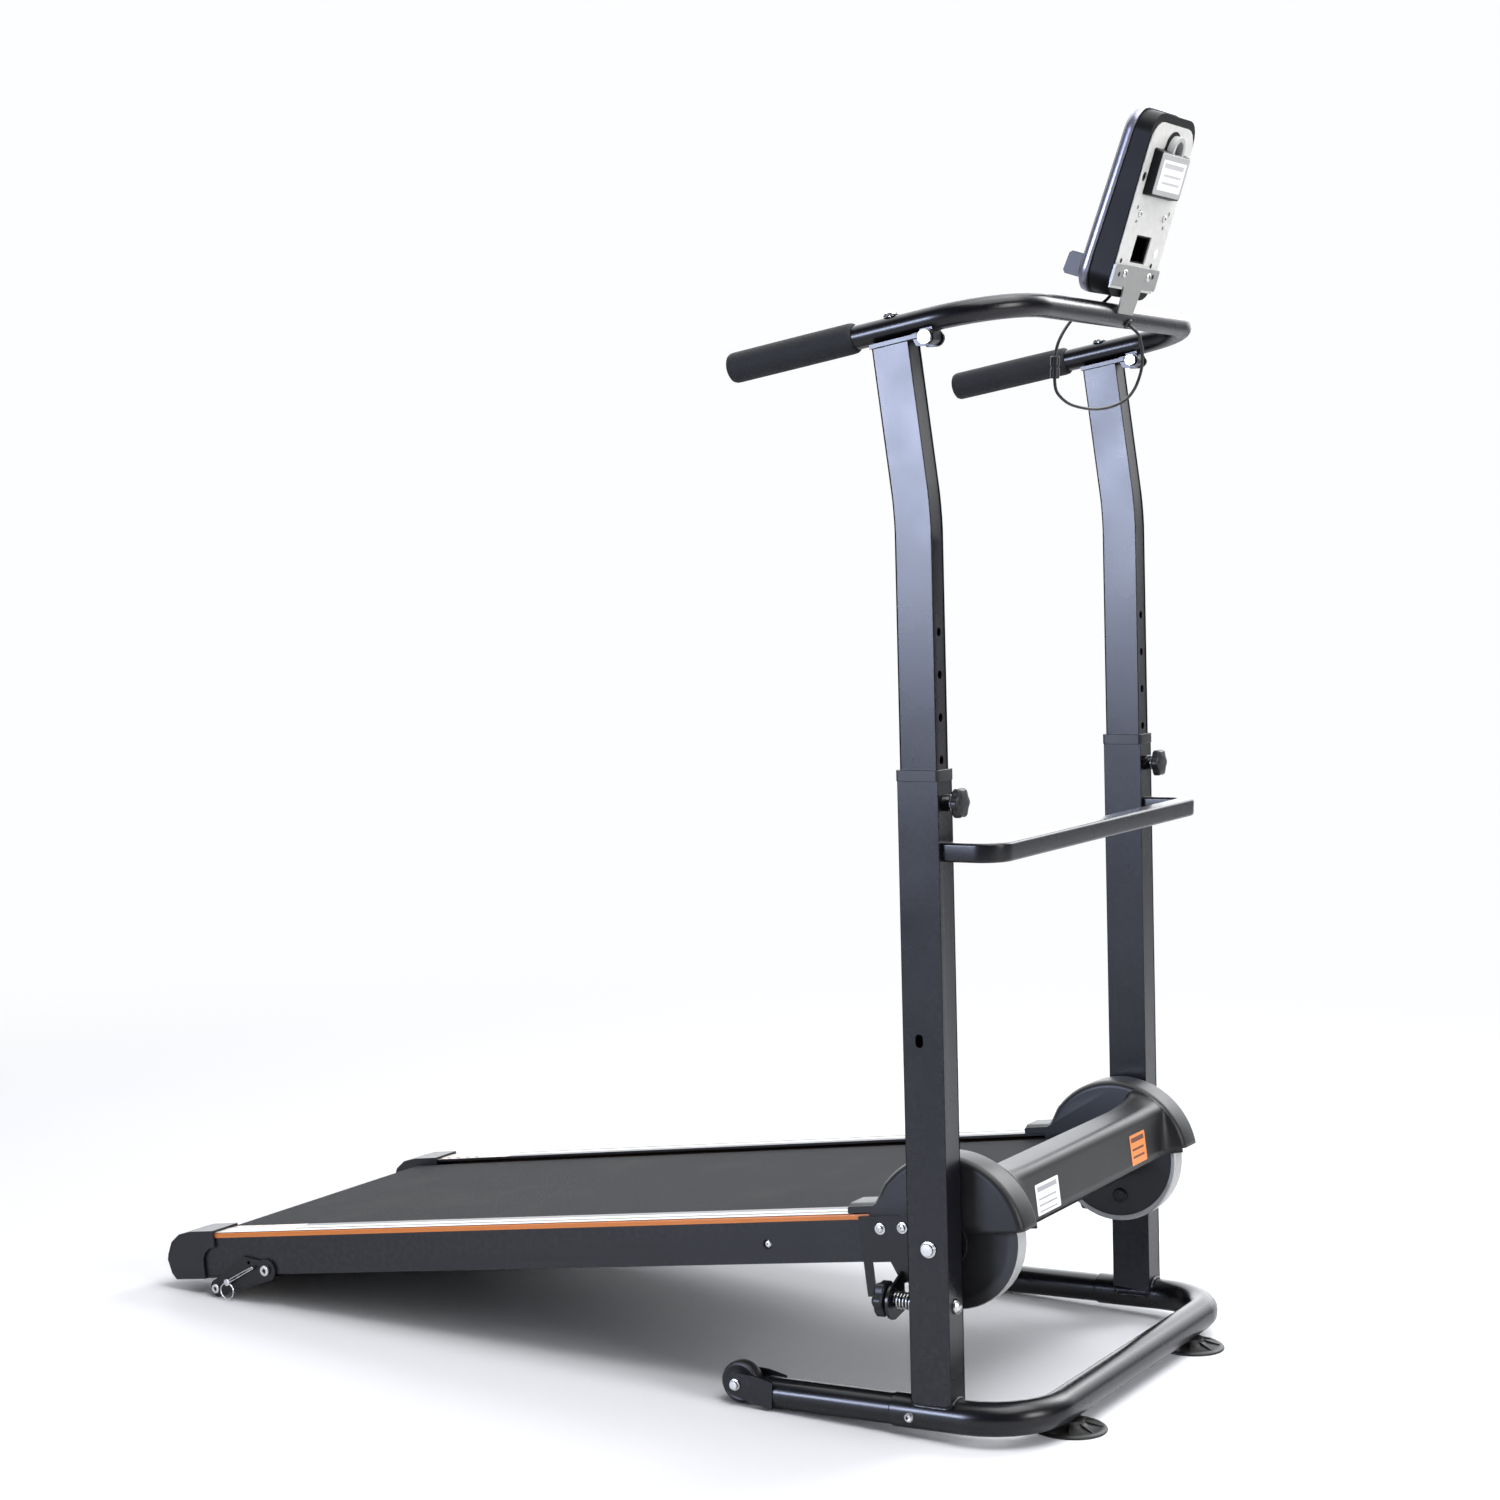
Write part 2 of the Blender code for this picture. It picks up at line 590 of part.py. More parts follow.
def lugs(bm):
    for k in (1.0, -1.0):
        lug = [(HINGE_V - 0.0070, 0.004), (HINGE_V - 0.0070, -0.0055)]
        lug += arc(HINGE_V, -0.0055, 0.0070, 180, 360, 8) + [(HINGE_V + 0.0070, 0.004)]
        under = Vector((k * POST_X, HINGE_Y, HAND_Z_AT_HINGE)) - plane_up * HAND_R
        fwd = Vector((0.0, 1.0, HAND_SLOPE)).normalized()
        prism(bm, lug, lambda u, v, w: under + X_AXIS * w + fwd * u + plane_up * v, -0.0100, 0.0100)


def lug_holes(bm):
    for k in (1.0, -1.0):
        rod(bm, (k * POST_X - 0.02, HINGE_Y, HINGE_Z), (k * POST_X + 0.02, HINGE_Y, HINGE_Z), 0.0043, 12)


CORD_X = -0.019
CORD_DIR = Vector((0.0, math.cos(math.radians(-40)), math.sin(math.radians(-40))))
BAR_MID = Vector((CORD_X, HAND_FRONT_Y, hand_z(HAND_FRONT_Y)))


def bar_holes(bm):
    rod(bm, BAR_MID + CORD_DIR * 0.004, BAR_MID + CORD_DIR * 0.020, 0.0040, 14)
    for k in (1.0, -1.0):
        at = Vector((k * POST_X, LOCK_SCREW_Y, hand_z(LOCK_SCREW_Y)))
        rod(bm, at - plane_up * 0.02, at + plane_up * 0.02, 0.0043, 12)


weld(handle, "hinge_lugs", lugs)
cut(handle, "lug_holes", lug_holes)
cut(handle, "bar_holes", bar_holes)

for side, k in SIDES:
    x = k * POST_X
    fwd = Vector((0.0, 1.0, HAND_SLOPE)).normalized()
    rear = Vector((x, GRIP_Y0, hand_z(GRIP_Y0)))
    span = (GRIP_Y1 - GRIP_Y0) / fwd.y
    bm = bmesh.new()
    bore_r = HAND_R + GAP
    turned(bm, ((0.0, 0.0), (GRIP_R - 0.003, 0.0), (GRIP_R, 0.002), (GRIP_R, span), (bore_r, span),
                (bore_r, 0.0045), (0.0, 0.0045)), rear, fwd, 20)
    finish("grip_" + side, bm, "foam", smooth=SMOOTH)

    bm = bmesh.new()
    at = Vector((x, LOCK_SCREW_Y, hand_z(LOCK_SCREW_Y)))
    turned(bm, ((0.0, -HAND_R), (0.0040, -HAND_R), (0.0040, HAND_R + GAP), (0.0085, HAND_R + GAP),
                (0.0080, HAND_R + 0.0026), (0.0055, HAND_R + 0.0050), (0.0, HAND_R + 0.0060)),
           at, plane_up, 14)
    finish("lock_screw_" + side, bm, "zinc", smooth=SMOOTH)

# ---------------------------------------------------------------- console and its bracket
bm = bmesh.new()
tee = [(-0.020, -0.0165), (0.020, -0.0165), (0.0245, 0.0120), (0.0595, 0.0120), (0.0595, 0.0355),
       (-0.0595, 0.0355), (-0.0595, 0.0120), (-0.0245, 0.0120)]
prism(bm, tee, lambda u, v, w: con(u, v, w), -0.0023, -0.0003)
tee_obj = finish("console_bracket", bm, "plate_metal", smooth=SMOOTH)


def tee_flanges(bm):
    for lo, hi in ((0.0590, 0.0610), (-0.0610, -0.0590)):
        box(bm, lambda u, v, w: con(u, v, w), (lo, hi), (0.0140, 0.0340), (-0.0023, 0.0012))


weld(tee_obj, "tee_flanges", tee_flanges)

bm = bmesh.new()
plate = [(0.0580, 0.0090), (0.0580, 0.1600)] + arc(0.0330, 0.1620, 0.0250, 0, 90, 5)
plate += arc(-0.0330, 0.1620, 0.0250, 90, 180, 5) + [(-0.0580, 0.1600), (-0.0580, 0.0090)]
prism(bm, plate, lambda u, v, w: con(u, v, w), 0.0, 0.0015)
plate_obj = finish("console_plate", bm, "plate_metal", smooth=SMOOTH)


def plate_holes(bm):
    box(bm, lambda u, v, w: con(u, v, w), (-0.017, 0.024), (0.0385, 0.0680), (-0.002, 0.004))
    for u, v, r in ((0.0430, 0.0960, 0.0024), (0.0375, 0.0810, 0.0024), (-0.0460, 0.0960, 0.0024),
                    (-0.0390, 0.0800, 0.0024), (-0.0510, 0.1360, 0.0060), (0.0490, 0.1280, 0.0055)):
        rod(bm, con(u, v, -0.002), con(u, v, 0.004), r, 12)


cut(plate_obj, "plate_holes", plate_holes)

bm = bmesh.new()
shell = rounded(CON_HALF, CON_TALL / 2, 0.024, 5, 0.0, CON_TALL / 2)
hollow = rounded(CON_HALF - 0.0022, CON_TALL / 2 - 0.0022, 0.022, 5, 0.0, CON_TALL / 2)
rings = [[con(u, v, 0.0018) for u, v in shell], [con(u, v, 0.0260) for u, v in shell],
         [con(u, v, 0.0260) for u, v in hollow], [con(u, v, 0.0040) for u, v in hollow]]
loops(bm, rings)
back_shell = finish("console_back_shell", bm, "black_plastic", smooth=SMOOTH)


def wire_window(bm):
    box(bm, lambda u, v, w: con(u, v, w), (-0.015, 0.022), (0.0400, 0.0660), (0.000, 0.006))
    rod(bm, con(-0.006, -0.004, 0.0215), con(-0.006, 0.006, 0.0215), 0.0028, 12)


cut(back_shell, "wire_window", wire_window)

bm = bmesh.new()
front_out = rounded(CON_HALF + 0.002, CON_TALL / 2 + 0.001, 0.025, 5, 0.0, CON_TALL / 2)
front_face = rounded(CON_HALF - 0.002, CON_TALL / 2 - 0.003, 0.022, 5, 0.0, CON_TALL / 2)
rings = [[face(u, v, CON_DEPTH - 0.0030) for u, v in hollow], [con(u, v, 0.0263) for u, v in hollow],
         [con(u, v, 0.0263) for u, v in front_out], [face(u, v, CON_DEPTH - 0.0040) for u, v in front_out],
         [face(u, v, CON_DEPTH) for u, v in front_face]]
loops(bm, rings)
front_shell = finish("console_front_shell", bm, "black_plastic", smooth=SMOOTH)


def ledge(bm):
    block = [(0.0100, 0.0385), (0.0100, 0.0580), (0.0130, 0.0610), (0.0320, 0.0600), (0.0350, 0.0570),
             (0.0350, 0.0385)]
    prism(bm, block, lambda u, v, w: face(w, u, v), -0.050, 0.050)


def front_pockets(bm):
    box(bm, face, (-0.0430, 0.0430), (0.0980, 0.1680), (CON_DEPTH - 0.0010, CON_DEPTH + 0.0020))
    rod(bm, con(0.0, 0.0680, 0.0320), con(0.0, 0.0680, 0.0420), 0.0098, 18)


weld(front_shell, "ledge", ledge)
cut(front_shell, "front_pockets", front_pockets)

bm = bmesh.new()
box(bm, face, (-0.0426, 0.0426), (0.0984, 0.1676), (CON_DEPTH - 0.0007, CON_DEPTH + 0.0008))
finish("display_window", bm, "window")

bm = bmesh.new()
turned(bm, ((0.0, 0.0), (0.0093, 0.0), (0.0093, 0.0055), (0.0075, 0.0070), (0.0, 0.0072)),
       con(0.0, 0.0680, 0.0349), CON_BACK, 18)
finish("mode_button", bm, "button_plastic", con(0.0, 0.0680, 0.0349), SMOOTH)

bm = bmesh.new()
door = rounded(0.0385, 0.0220, 0.002, 2, 0.0015, 0.1350)
prism(bm, door, lambda u, v, w: con(u, v, w), -0.0100, -0.0003)
door_obj = finish("battery_door", bm, "door_plastic", smooth=SMOOTH)


def latch(bm):
    outer_arc = arc(-0.0020, 0.1620, 0.0150, 0, 180, 8)
    inner_arc = arc(-0.0020, 0.1620, 0.0100, 180, 0, 8)
    loop_shape = [(0.0130, 0.1560)] + outer_arc + [(-0.0170, 0.1560), (-0.0120, 0.1560)]
    loop_shape += inner_arc + [(0.0080, 0.1560)]
    prism(bm, loop_shape, lambda u, v, w: con(u, v, w), -0.0090, -0.0010)


weld(door_obj, "latch", latch)

# ---------------------------------------------------------------- running deck
for side, k in SIDES:
    flat = lambda u, v, w: deck(u, w, v)
    xo, xi = k * RAIL_X, k * (RAIL_X - RAIL_W)
    wall = k * RAIL_WALL
    lipx = k * (RAIL_X - 0.022)
    channel = [(xo, RAIL_BOTTOM), (xo, RAIL_TOP - 0.0015), (xo - k * 0.0015, RAIL_TOP), (xi, RAIL_TOP),
               (xi, RAIL_TOP - 0.0035), (xo - wall, RAIL_TOP - 0.0035), (xo - wall, RAIL_BOTTOM + RAIL_WALL),
               (lipx, RAIL_BOTTOM + RAIL_WALL), (lipx, RAIL_BOTTOM)]
    bm = bmesh.new()
    prism(bm, channel, flat, RAIL_REAR, RAIL_FRONT)
    rail = finish("side_rail_" + side, bm, "frame_paint", smooth=SMOOTH)

    def rail_holes(bm, k=k):
        rod(bm, deck(k * (RAIL_X - 0.006), -0.213, 0.0016), deck(k * (RAIL_X + 0.006), -0.213, 0.0016), 0.0052, 14)
    cut(rail, "rail_hole_" + side, rail_holes)

    # steel bracket from the rail to the pivot, with the tab that carries the fold lock
    xb0, xb1 = k * (RAIL_X + GAP), k * (RAIL_X + 0.0033)
    cheek = [(-0.0970, 0.0290), (-0.0970, -0.0560), (-0.0870, -0.0560), (-0.0870, RAIL_BOTTOM),
             (-0.0650, RAIL_BOTTOM), (-0.0550, -0.0420), (-0.0500, -0.0420), (-0.0300, -0.0260)]
    cheek += arc(0.0, 0.0, 0.0265, -90, 75, 10) + [(-0.0100, 0.0290)]
    bm = bmesh.new()
    prism(bm, cheek, lambda u, v, w: deck(w, u, v), xb0, xb1)
    bracket = finish("front_bracket_" + side, bm, "frame_paint", smooth=SMOOTH)
    tab_back = -(LOWER_D / 2 + 0.0275)

    def tab(bm, k=k, xb0=xb0, tab_back=tab_back):
        shape = arc(k * POST_X, LOCK_AT - 0.002, 0.019, -90 if k > 0 else 270, 90, 10)
        shape += [(xb0, LOCK_AT + 0.0270), (xb0, LOCK_AT - 0.0160)]
        prism(bm, shape, lambda u, v, w: post(u, v, w), tab_back, tab_back + 0.003)

    def barrel(bm, k=k, tab_back=tab_back):
        rod(bm, post(k * POST_X, LOCK_AT, tab_back + 0.001), post(k * POST_X, LOCK_AT, -LOWER_D / 2 - 0.0065),
            0.0070, 14)

    def bracket_holes(bm, k=k, tab_back=tab_back):
        rod(bm, (k * 0.240, PIVOT_Y, PIVOT_Z), (k * 0.262, PIVOT_Y, PIVOT_Z), PIVOT_R + GAP, 14)
        rod(bm, post(k * POST_X, LOCK_AT, tab_back - 0.01), post(k * POST_X, LOCK_AT, -LOWER_D / 2),
            PIN_R + GAP, 12)
    weld(bracket, "tab_" + side, tab)
    weld(bracket, "barrel_" + side, barrel)
    cut(bracket, "bracket_holes_" + side, bracket_holes)

    # fold-lock knob: pulls its pin back out of the upright
    bm = bmesh.new()
    back = -tab_back + GAP
    turned(bm, ((0.0, LOWER_D / 2 + 0.0004), (PIN_R, LOWER_D / 2 + 0.0004), (PIN_R, back), (0.0090, back),
                (0.0095, back + 0.006), (0.0, back + 0.006)),
           post(k * POST_X, LOCK_AT), -POST_FRONT, 20)
    lock_knob = finish("lock_knob_" + side, bm, "black_plastic", post(k * POST_X, LOCK_AT, tab_back), SMOOTH)
    weld(lock_knob, "lock_star_" + side, lambda bm, k=k, back=back: star_knob(
        bm, lambda u, v, w: post(k * POST_X + u, LOCK_AT + v, -w), 0.0195,
        ((0.88, back + 0.0035), (1.0, back + 0.0052), (1.0, back + 0.0135),
         (0.88, back + 0.0160), (0.40, back + 0.0175))))

    # rear end cap over the end of the rail
    x_in, x_out = k * 0.2065, k * 0.2540
    top, bot = RAIL_TOP + 0.0030, RAIL_BOTTOM - 0.0030
    outline = [(CAP_S0, bot), (CAP_S0, top), (CAP_S1 + 0.040, top), (CAP_S1 + 0.022, top - 0.003)]
    outline += [(CAP_S1 + 0.009, top - 0.012), (CAP_S1 + 0.002, top - 0.026), (CAP_S1, 0.002),
                (CAP_S1 + 0.004, bot + 0.008), (CAP_S1 + 0.010, bot)]
    bm = bmesh.new()
    prism(bm, outline, lambda u, v, w: deck(w, u, v), x_in, x_out)
    cap = finish("rear_cap_" + side, bm, "black_plastic", smooth=SMOOTH)

    def cap_hollow(bm, k=k, top=top, bot=bot):
        inside = [(CAP_S0 + 0.01, bot + 0.0026), (CAP_S0 + 0.01, top - 0.0026), (CAP_S1 + 0.040, top - 0.0026),
                  (CAP_S1 + 0.024, top - 0.0060), (CAP_S1 + 0.012, top - 0.0150), (CAP_S1 + 0.0045, 0.002),
                  (CAP_S1 + 0.0120, bot + 0.0026)]
        prism(bm, inside, lambda u, v, w: deck(w, u, v), k * 0.2092, k * 0.2509)

    def cap_notch(bm, k=k, bot=bot):
        prism(bm, arc(-0.9770, -0.0030, 0.0180, 0, 330, 14), lambda u, v, w: deck(w, u, v), k * 0.2500, k * 0.2600)

    def cap_notch_low(bm, k=k, bot=bot):
        prism(bm, [(-0.9950, -0.0030), (-0.9950, bot - 0.004), (-0.9700, bot - 0.004), (-0.9700, -0.0030)],
              lambda u, v, w: deck(w, u, v), k * 0.2500, k * 0.2600)
        rod(bm, deck(k * 0.200, REAR_ROLLER_S, REAR_ROLLER_N), deck(k * 0.215, REAR_ROLLER_S, REAR_ROLLER_N),
            0.0070, 14)
    cut(cap, "cap_hollow_" + side, cap_hollow)
    cut(cap, "cap_notch_" + side, cap_notch)
    cut(cap, "cap_low_" + side, cap_notch_low)

    # quick-release pin of the foot, with its pull ring
    bm = bmesh.new()
    at = deck(k * 0.2510, -0.9580, -0.0262)
    turned(bm, ((0.0, 0.0), (0.0030, 0.0), (0.0030, 0.0052), (0.0042, 0.0056), (0.0042, 0.0090), (0.0, 0.0100)),
           at, X_AXIS * k, 12)
    pin = finish("foot_pin_" + side, bm, "zinc", at, SMOOTH)

    def pull_ring(bm, at=at, k=k):
        centre = at + Vector((k * 0.0078, 0.0, -0.0106))
        path = []
        for i in range(18):
            t = 2 * math.pi * i / 18
            path.append(centre + Vector((0.0, math.sin(t), math.cos(t))) * 0.0096)
        rings = []
        for i, p in enumerate(path):
            out = (p - centre).normalized()
            rings.append([p + out * 0.0008 * math.cos(a) + X_AXIS * 0.0008 * math.sin(a)
                          for a in (0.0, math.pi / 3, 2 * math.pi / 3, math.pi, 4 * math.pi / 3, 5 * math.pi / 3)])
        loops(bm, rings, closed=True)
    weld(pin, "pull_ring_" + side, pull_ring)

    # flywheel
    bm = bmesh.new()
    t = FLY_OUT - FLY_IN
    rim = ((0.0063, 0.0), (0.0180, 0.0), (0.0200, 0.0012), (0.0693, 0.0012), (0.0700, 0.0), (FLY_R - 0.0015, 0.0),
           (FLY_R, 0.0015), (FLY_R, t - 0.0015), (FLY_R - 0.0015, t), (0.0640, t), (0.0600, t - 0.0050),
           (0.0240, t - 0.0050), (0.0200, t), (0.0063, t))
    centre = Vector((k * FLY_IN, PIVOT_Y, PIVOT_Z))
    turned(bm, rim, centre, X_AXIS * k, 48, closed=True)
    finish("flywheel_" + side, bm, "cast_iron", (0.0, PIVOT_Y, PIVOT_Z), SMOOTH)

# ---------------------------------------------------------------- rear support foot
# one frame: an arm on the outside of each rail and a round tube across, which stands on the floor
def foot_arm(bm, k):
    arm = arc(FOOT_PIVOT_S, FOOT_PIVOT_N, 0.0135, -65, 120, 8)
    arm += [(-0.9330, 0.0035)] + arc(FOOT_ROLL_S, FOOT_ROLL_N, 0.0098, 120, 285, 7)
    prism(bm, arm, lambda u, v, w: deck(w, u, v), k * 0.2506, k * 0.2536)


def foot_tube(bm):
    rod(bm, deck(-0.2520, FOOT_ROLL_S, FOOT_ROLL_N), deck(0.2520, FOOT_ROLL_S, FOOT_ROLL_N), FOOT_ROLL_R, 20)


def foot_bolts(bm):
    for k in (1.0, -1.0):
        for s, n, r in ((FOOT_PIVOT_S, FOOT_PIVOT_N, 0.0056), (FOOT_ROLL_S, FOOT_ROLL_N, 0.0052)):
            rod(bm, deck(k * 0.2530, s, n), deck(k * 0.2572, s, n), r, 12)


def foot_holes(bm):
    for k in (1.0, -1.0):
        rod(bm, deck(k * 0.2480, -0.9255, -0.0044), deck(k * 0.2560, -0.9255, -0.0044), 0.0023, 10)
        rod(bm, deck(k * 0.2480, -0.9580, -0.0262), deck(k * 0.2560, -0.9580, -0.0262), 0.0033, 12)


bm = bmesh.new()
foot_arm(bm, 1.0)
foot = finish("rear_foot_frame", bm, "frame_paint", deck(0.0, FOOT_PIVOT_S, FOOT_PIVOT_N), SMOOTH)
weld(foot, "foot_tube", foot_tube)
weld(foot, "foot_arm", lambda bm: foot_arm(bm, -1.0))
weld(foot, "foot_bolts", foot_bolts)
cut(foot, "foot_holes", foot_holes)

# board between the rails
bm = bmesh.new()
board_x = RAIL_X - RAIL_WALL - GAP
box(bm, lambda u, v, w: deck(u, w, v), (-board_x, board_x), (0.012, DECK_N), (-0.960, RAIL_FRONT))
finish("deck_board", bm, "board")

# rollers
bm = bmesh.new()
shaft, drum = 0.2445, 0.2030
turned(bm, ((0.0, -shaft), (0.0060, -shaft), (0.0060, -drum), (FRONT_ROLLER_R, -drum), (FRONT_ROLLER_R, drum),
            (0.0060, drum), (0.0060, shaft), (0.0, shaft)), (0.0, PIVOT_Y, PIVOT_Z), X_AXIS, 28)
finish("front_roller", bm, "cast_iron", (0.0, PIVOT_Y, PIVOT_Z), SMOOTH)

rear_hub = deck(0.0, REAR_ROLLER_S, REAR_ROLLER_N)
bm = bmesh.new()
turned(bm, ((0.0, -0.2440), (0.0055, -0.2440), (0.0055, -drum), (REAR_ROLLER_R, -drum), (REAR_ROLLER_R, drum),
            (0.0055, drum), (0.0055, 0.2440), (0.0, 0.2440)), rear_hub, X_AXIS, 24)
finish("rear_roller", bm, "cast_iron", rear_hub, SMOOTH)


# belt loop over both rollers
def belt_line(extra):
    rf, rr = FRONT_ROLLER_R + extra, REAR_ROLLER_R + extra
    spread = math.degrees(math.asin((rf - rr + REAR_ROLLER_N) / abs(REAR_ROLLER_S))) * 1.0
    front_arc = arc(0.0, 0.0, rf, 90, -90 - spread, 12)
    rear_arc = arc(REAR_ROLLER_S, REAR_ROLLER_N, rr, 270 - spread, 90, 10)
    return front_arc + rear_arc


bm = bmesh.new()
inner_line, outer_line = belt_line(GAP), belt_line(GAP + BELT_T)
rings = [[deck(-BELT_HALF, s, n) for s, n in inner_line], [deck(-BELT_HALF, s, n) for s, n in outer_line],
         [deck(BELT_HALF, s, n) for s, n in outer_line], [deck(BELT_HALF, s, n) for s, n in inner_line]]
loops(bm, rings, closed=True)
finish("running_belt", bm, "belt", smooth=SMOOTH)

# ---------------------------------------------------------------- flywheel hood
LOW_N = 0.0070
EDGE = 0.0070


def fender(bm, k):
    """Solid fender block with its side edges softened in two steps."""
    rings = []
    for x, shrink in ((HOOD_IN, EDGE), (HOOD_IN + 0.002, 0.0025), (HOOD_IN + EDGE, 0.0),
                      (HOOD_OUT - EDGE, 0.0), (HOOD_OUT - 0.002, 0.0025), (HOOD_OUT, EDGE)):
        r = HOOD_R - shrink
        start = math.degrees(math.asin(LOW_N / r))
        stop = 180 - math.degrees(math.asin(0.0425 / r))
        pts = arc(0.0, 0.0, r, start, stop, 16)
        pts += [(-0.1100, 0.0425 - min(shrink, 0.003)), (-0.1100, RAIL_TOP + GAP)]
        pts += [(-0.0843, RAIL_TOP + GAP), (-0.0843, LOW_N)]
        rings.append([deck(k * x, s, n) for s, n in pts])
    loops(bm, rings)


def fender_hollow(bm, k):
    w = HOOD_WALL
    pts = arc(0.0, 0.0, HOOD_R - EDGE - w + 0.0035, -12, 150.5, 16)
    pts += [(-0.1075, 0.0390), (-0.1075, 0.0250), (-0.0815, 0.0250), (-0.0815, -0.0180)]
    prism(bm, pts, lambda u, v, x: deck(x, u, v), k * (HOOD_IN + w), k * (HOOD_OUT - w))


bm = bmesh.new()
fender(bm, 1.0)
hood = finish("hood", bm, "hood_plastic", smooth=SMOOTH)
weld(hood, "fender_left", lambda bm: fender(bm, -1.0))


def beam(bm):
    w = HOOD_WALL
    skin = [(0.0660, 0.0020), (0.0660, 0.0480)] + arc(0.0560, 0.0500, 0.0100, 10, 80, 4)
    skin += [(0.0300, 0.0620)] + arc(0.0240, 0.0540, 0.0080, 90, 180, 4) + [(0.0160, 0.0320)]
    skin += [(0.0160 + w, 0.0320), (0.0160 + w, 0.0530)] + arc(0.0240, 0.0540, 0.0080 - w, 180, 90, 4)
    skin += [(0.0300, 0.0620 - w)] + arc(0.0560, 0.0500, 0.0100 - w, 80, 10, 4)
    skin += [(0.0660 - w, 0.0480), (0.0660 - w, 0.0020)]
    prism(bm, skin, lambda u, v, x: deck(x, u, v), -HOOD_IN - 0.0015, HOOD_IN + 0.0015)


weld(hood, "beam", beam)
cut(hood, "hollow_right", lambda bm: fender_hollow(bm, 1.0))
cut(hood, "hollow_left", lambda bm: fender_hollow(bm, -1.0))

# ---------------------------------------------------------------- sensor lead
CORD_R = 0.0017
start = con(-0.006, 0.0120, 0.0215)
leave = con(-0.006, 0.0020, 0.0217)
mouth = BAR_MID + CORD_DIR * (HAND_R + 0.0060)
inside = BAR_MID + CORD_DIR * 0.006
route = [start, leave, (-0.003, 0.0235, 1.1820), (0.006, 0.0180, 1.1765), (0.022, 0.0140, 1.1700),
         (0.042, 0.0110, 1.1640), (0.058, 0.0100, 1.1570), (0.071, 0.0080, 1.1460), (0.080, 0.0060, 1.1340),
         (0.0840, 0.0050, 1.1220), (0.0850, 0.0050, 1.1080), (0.0850, 0.0050, 1.0940), (0.0820, 0.0060, 1.0830),
         (0.072, 0.0090, 1.0750), (0.055, 0.0120, 1.0695), (0.030, 0.0170, 1.0665), (0.005, 0.0220, 1.0665),
         (-0.020, 0.0280, 1.0700), (-0.041, 0.0340, 1.0775), (-0.0530, 0.0390, 1.0890), (-0.0570, 0.0430, 1.1020),
         (-0.0545, 0.0470, 1.1150), (-0.0470, 0.0500, 1.1280), (-0.0370, 0.0520, 1.1385),
         (-0.0275, 0.0525, 1.1475), mouth,
         BAR_MID + CORD_DIR * (HAND_R + 0.001), inside]
route = [Vector(p) for p in route]


def smooth_line(points, steps):
    """Even smooth line through the given points."""
    line = []
    full = [points[0] * 2 - points[1]] + points + [points[-1] * 2 - points[-2]]
    for i in range(1, len(full) - 2):
        a, b, c, d = full[i - 1:i + 3]
        for j in range(steps):
            t = j / steps
            line.append(((b * 2) + (c - a) * t + (a * 2 - b * 5 + c * 4 - d) * t * t
                         + (b * 3 - a - c * 3 + d) * t * t * t) * 0.5)
    line.append(points[-1])
    return line


def tube_curve(name, line, r, mat, fine):
    curve = bpy.data.curves.new(name, "CURVE")
    curve.dimensions = "3D"
    curve.bevel_depth = r
    curve.bevel_resolution = fine
    curve.use_fill_caps = True
    spline = curve.splines.new("POLY")
    spline.points.add(len(line) - 1)
    for point, at in zip(spline.points, line):
        point.co = (*(at + Vector((0.0, Y_SHIFT, 0.0))), 1.0)
    curve.materials.append(MATS[mat])
    obj = bpy.data.objects.new(name, curve)
    bpy.context.scene.collection.objects.link(obj)
    return obj


tube_curve("sensor_lead", smooth_line(route, 2), CORD_R, "rubber", 2)

# plug on the lead, with the lead passing straight through it
bm = bmesh.new()
top, low = Vector((0.0850, 0.0050, 1.1195)), Vector((0.0850, 0.0050, 1.0960))
hole, body = CORD_R + 0.0011, 0.0050
turned(bm, ((hole, 0.0), (body - 0.001, 0.0), (body, 0.001), (body, 0.0105), (body - 0.0008, 0.0110),
            (body - 0.0008, 0.0125), (body, 0.0130), (body, 0.0225), (body - 0.001, 0.0235), (hole, 0.0235)),
       low, top - low, 16, closed=True)
finish("lead_plug", bm, "black_plastic", smooth=SMOOTH)

# grommet lining the hole in the handlebar
bm = bmesh.new()
rim = HAND_R + GAP
bore = CORD_R + 0.0007
turned(bm, ((bore, rim - 0.004), (0.0037, rim - 0.004), (0.0037, rim), (0.0062, rim), (0.0056, rim + 0.0015),
            (0.0030, rim + 0.0022), (bore, rim + 0.0022)), BAR_MID, CORD_DIR, 18, closed=True)
finish("lead_grommet", bm, "rubber", smooth=SMOOTH)
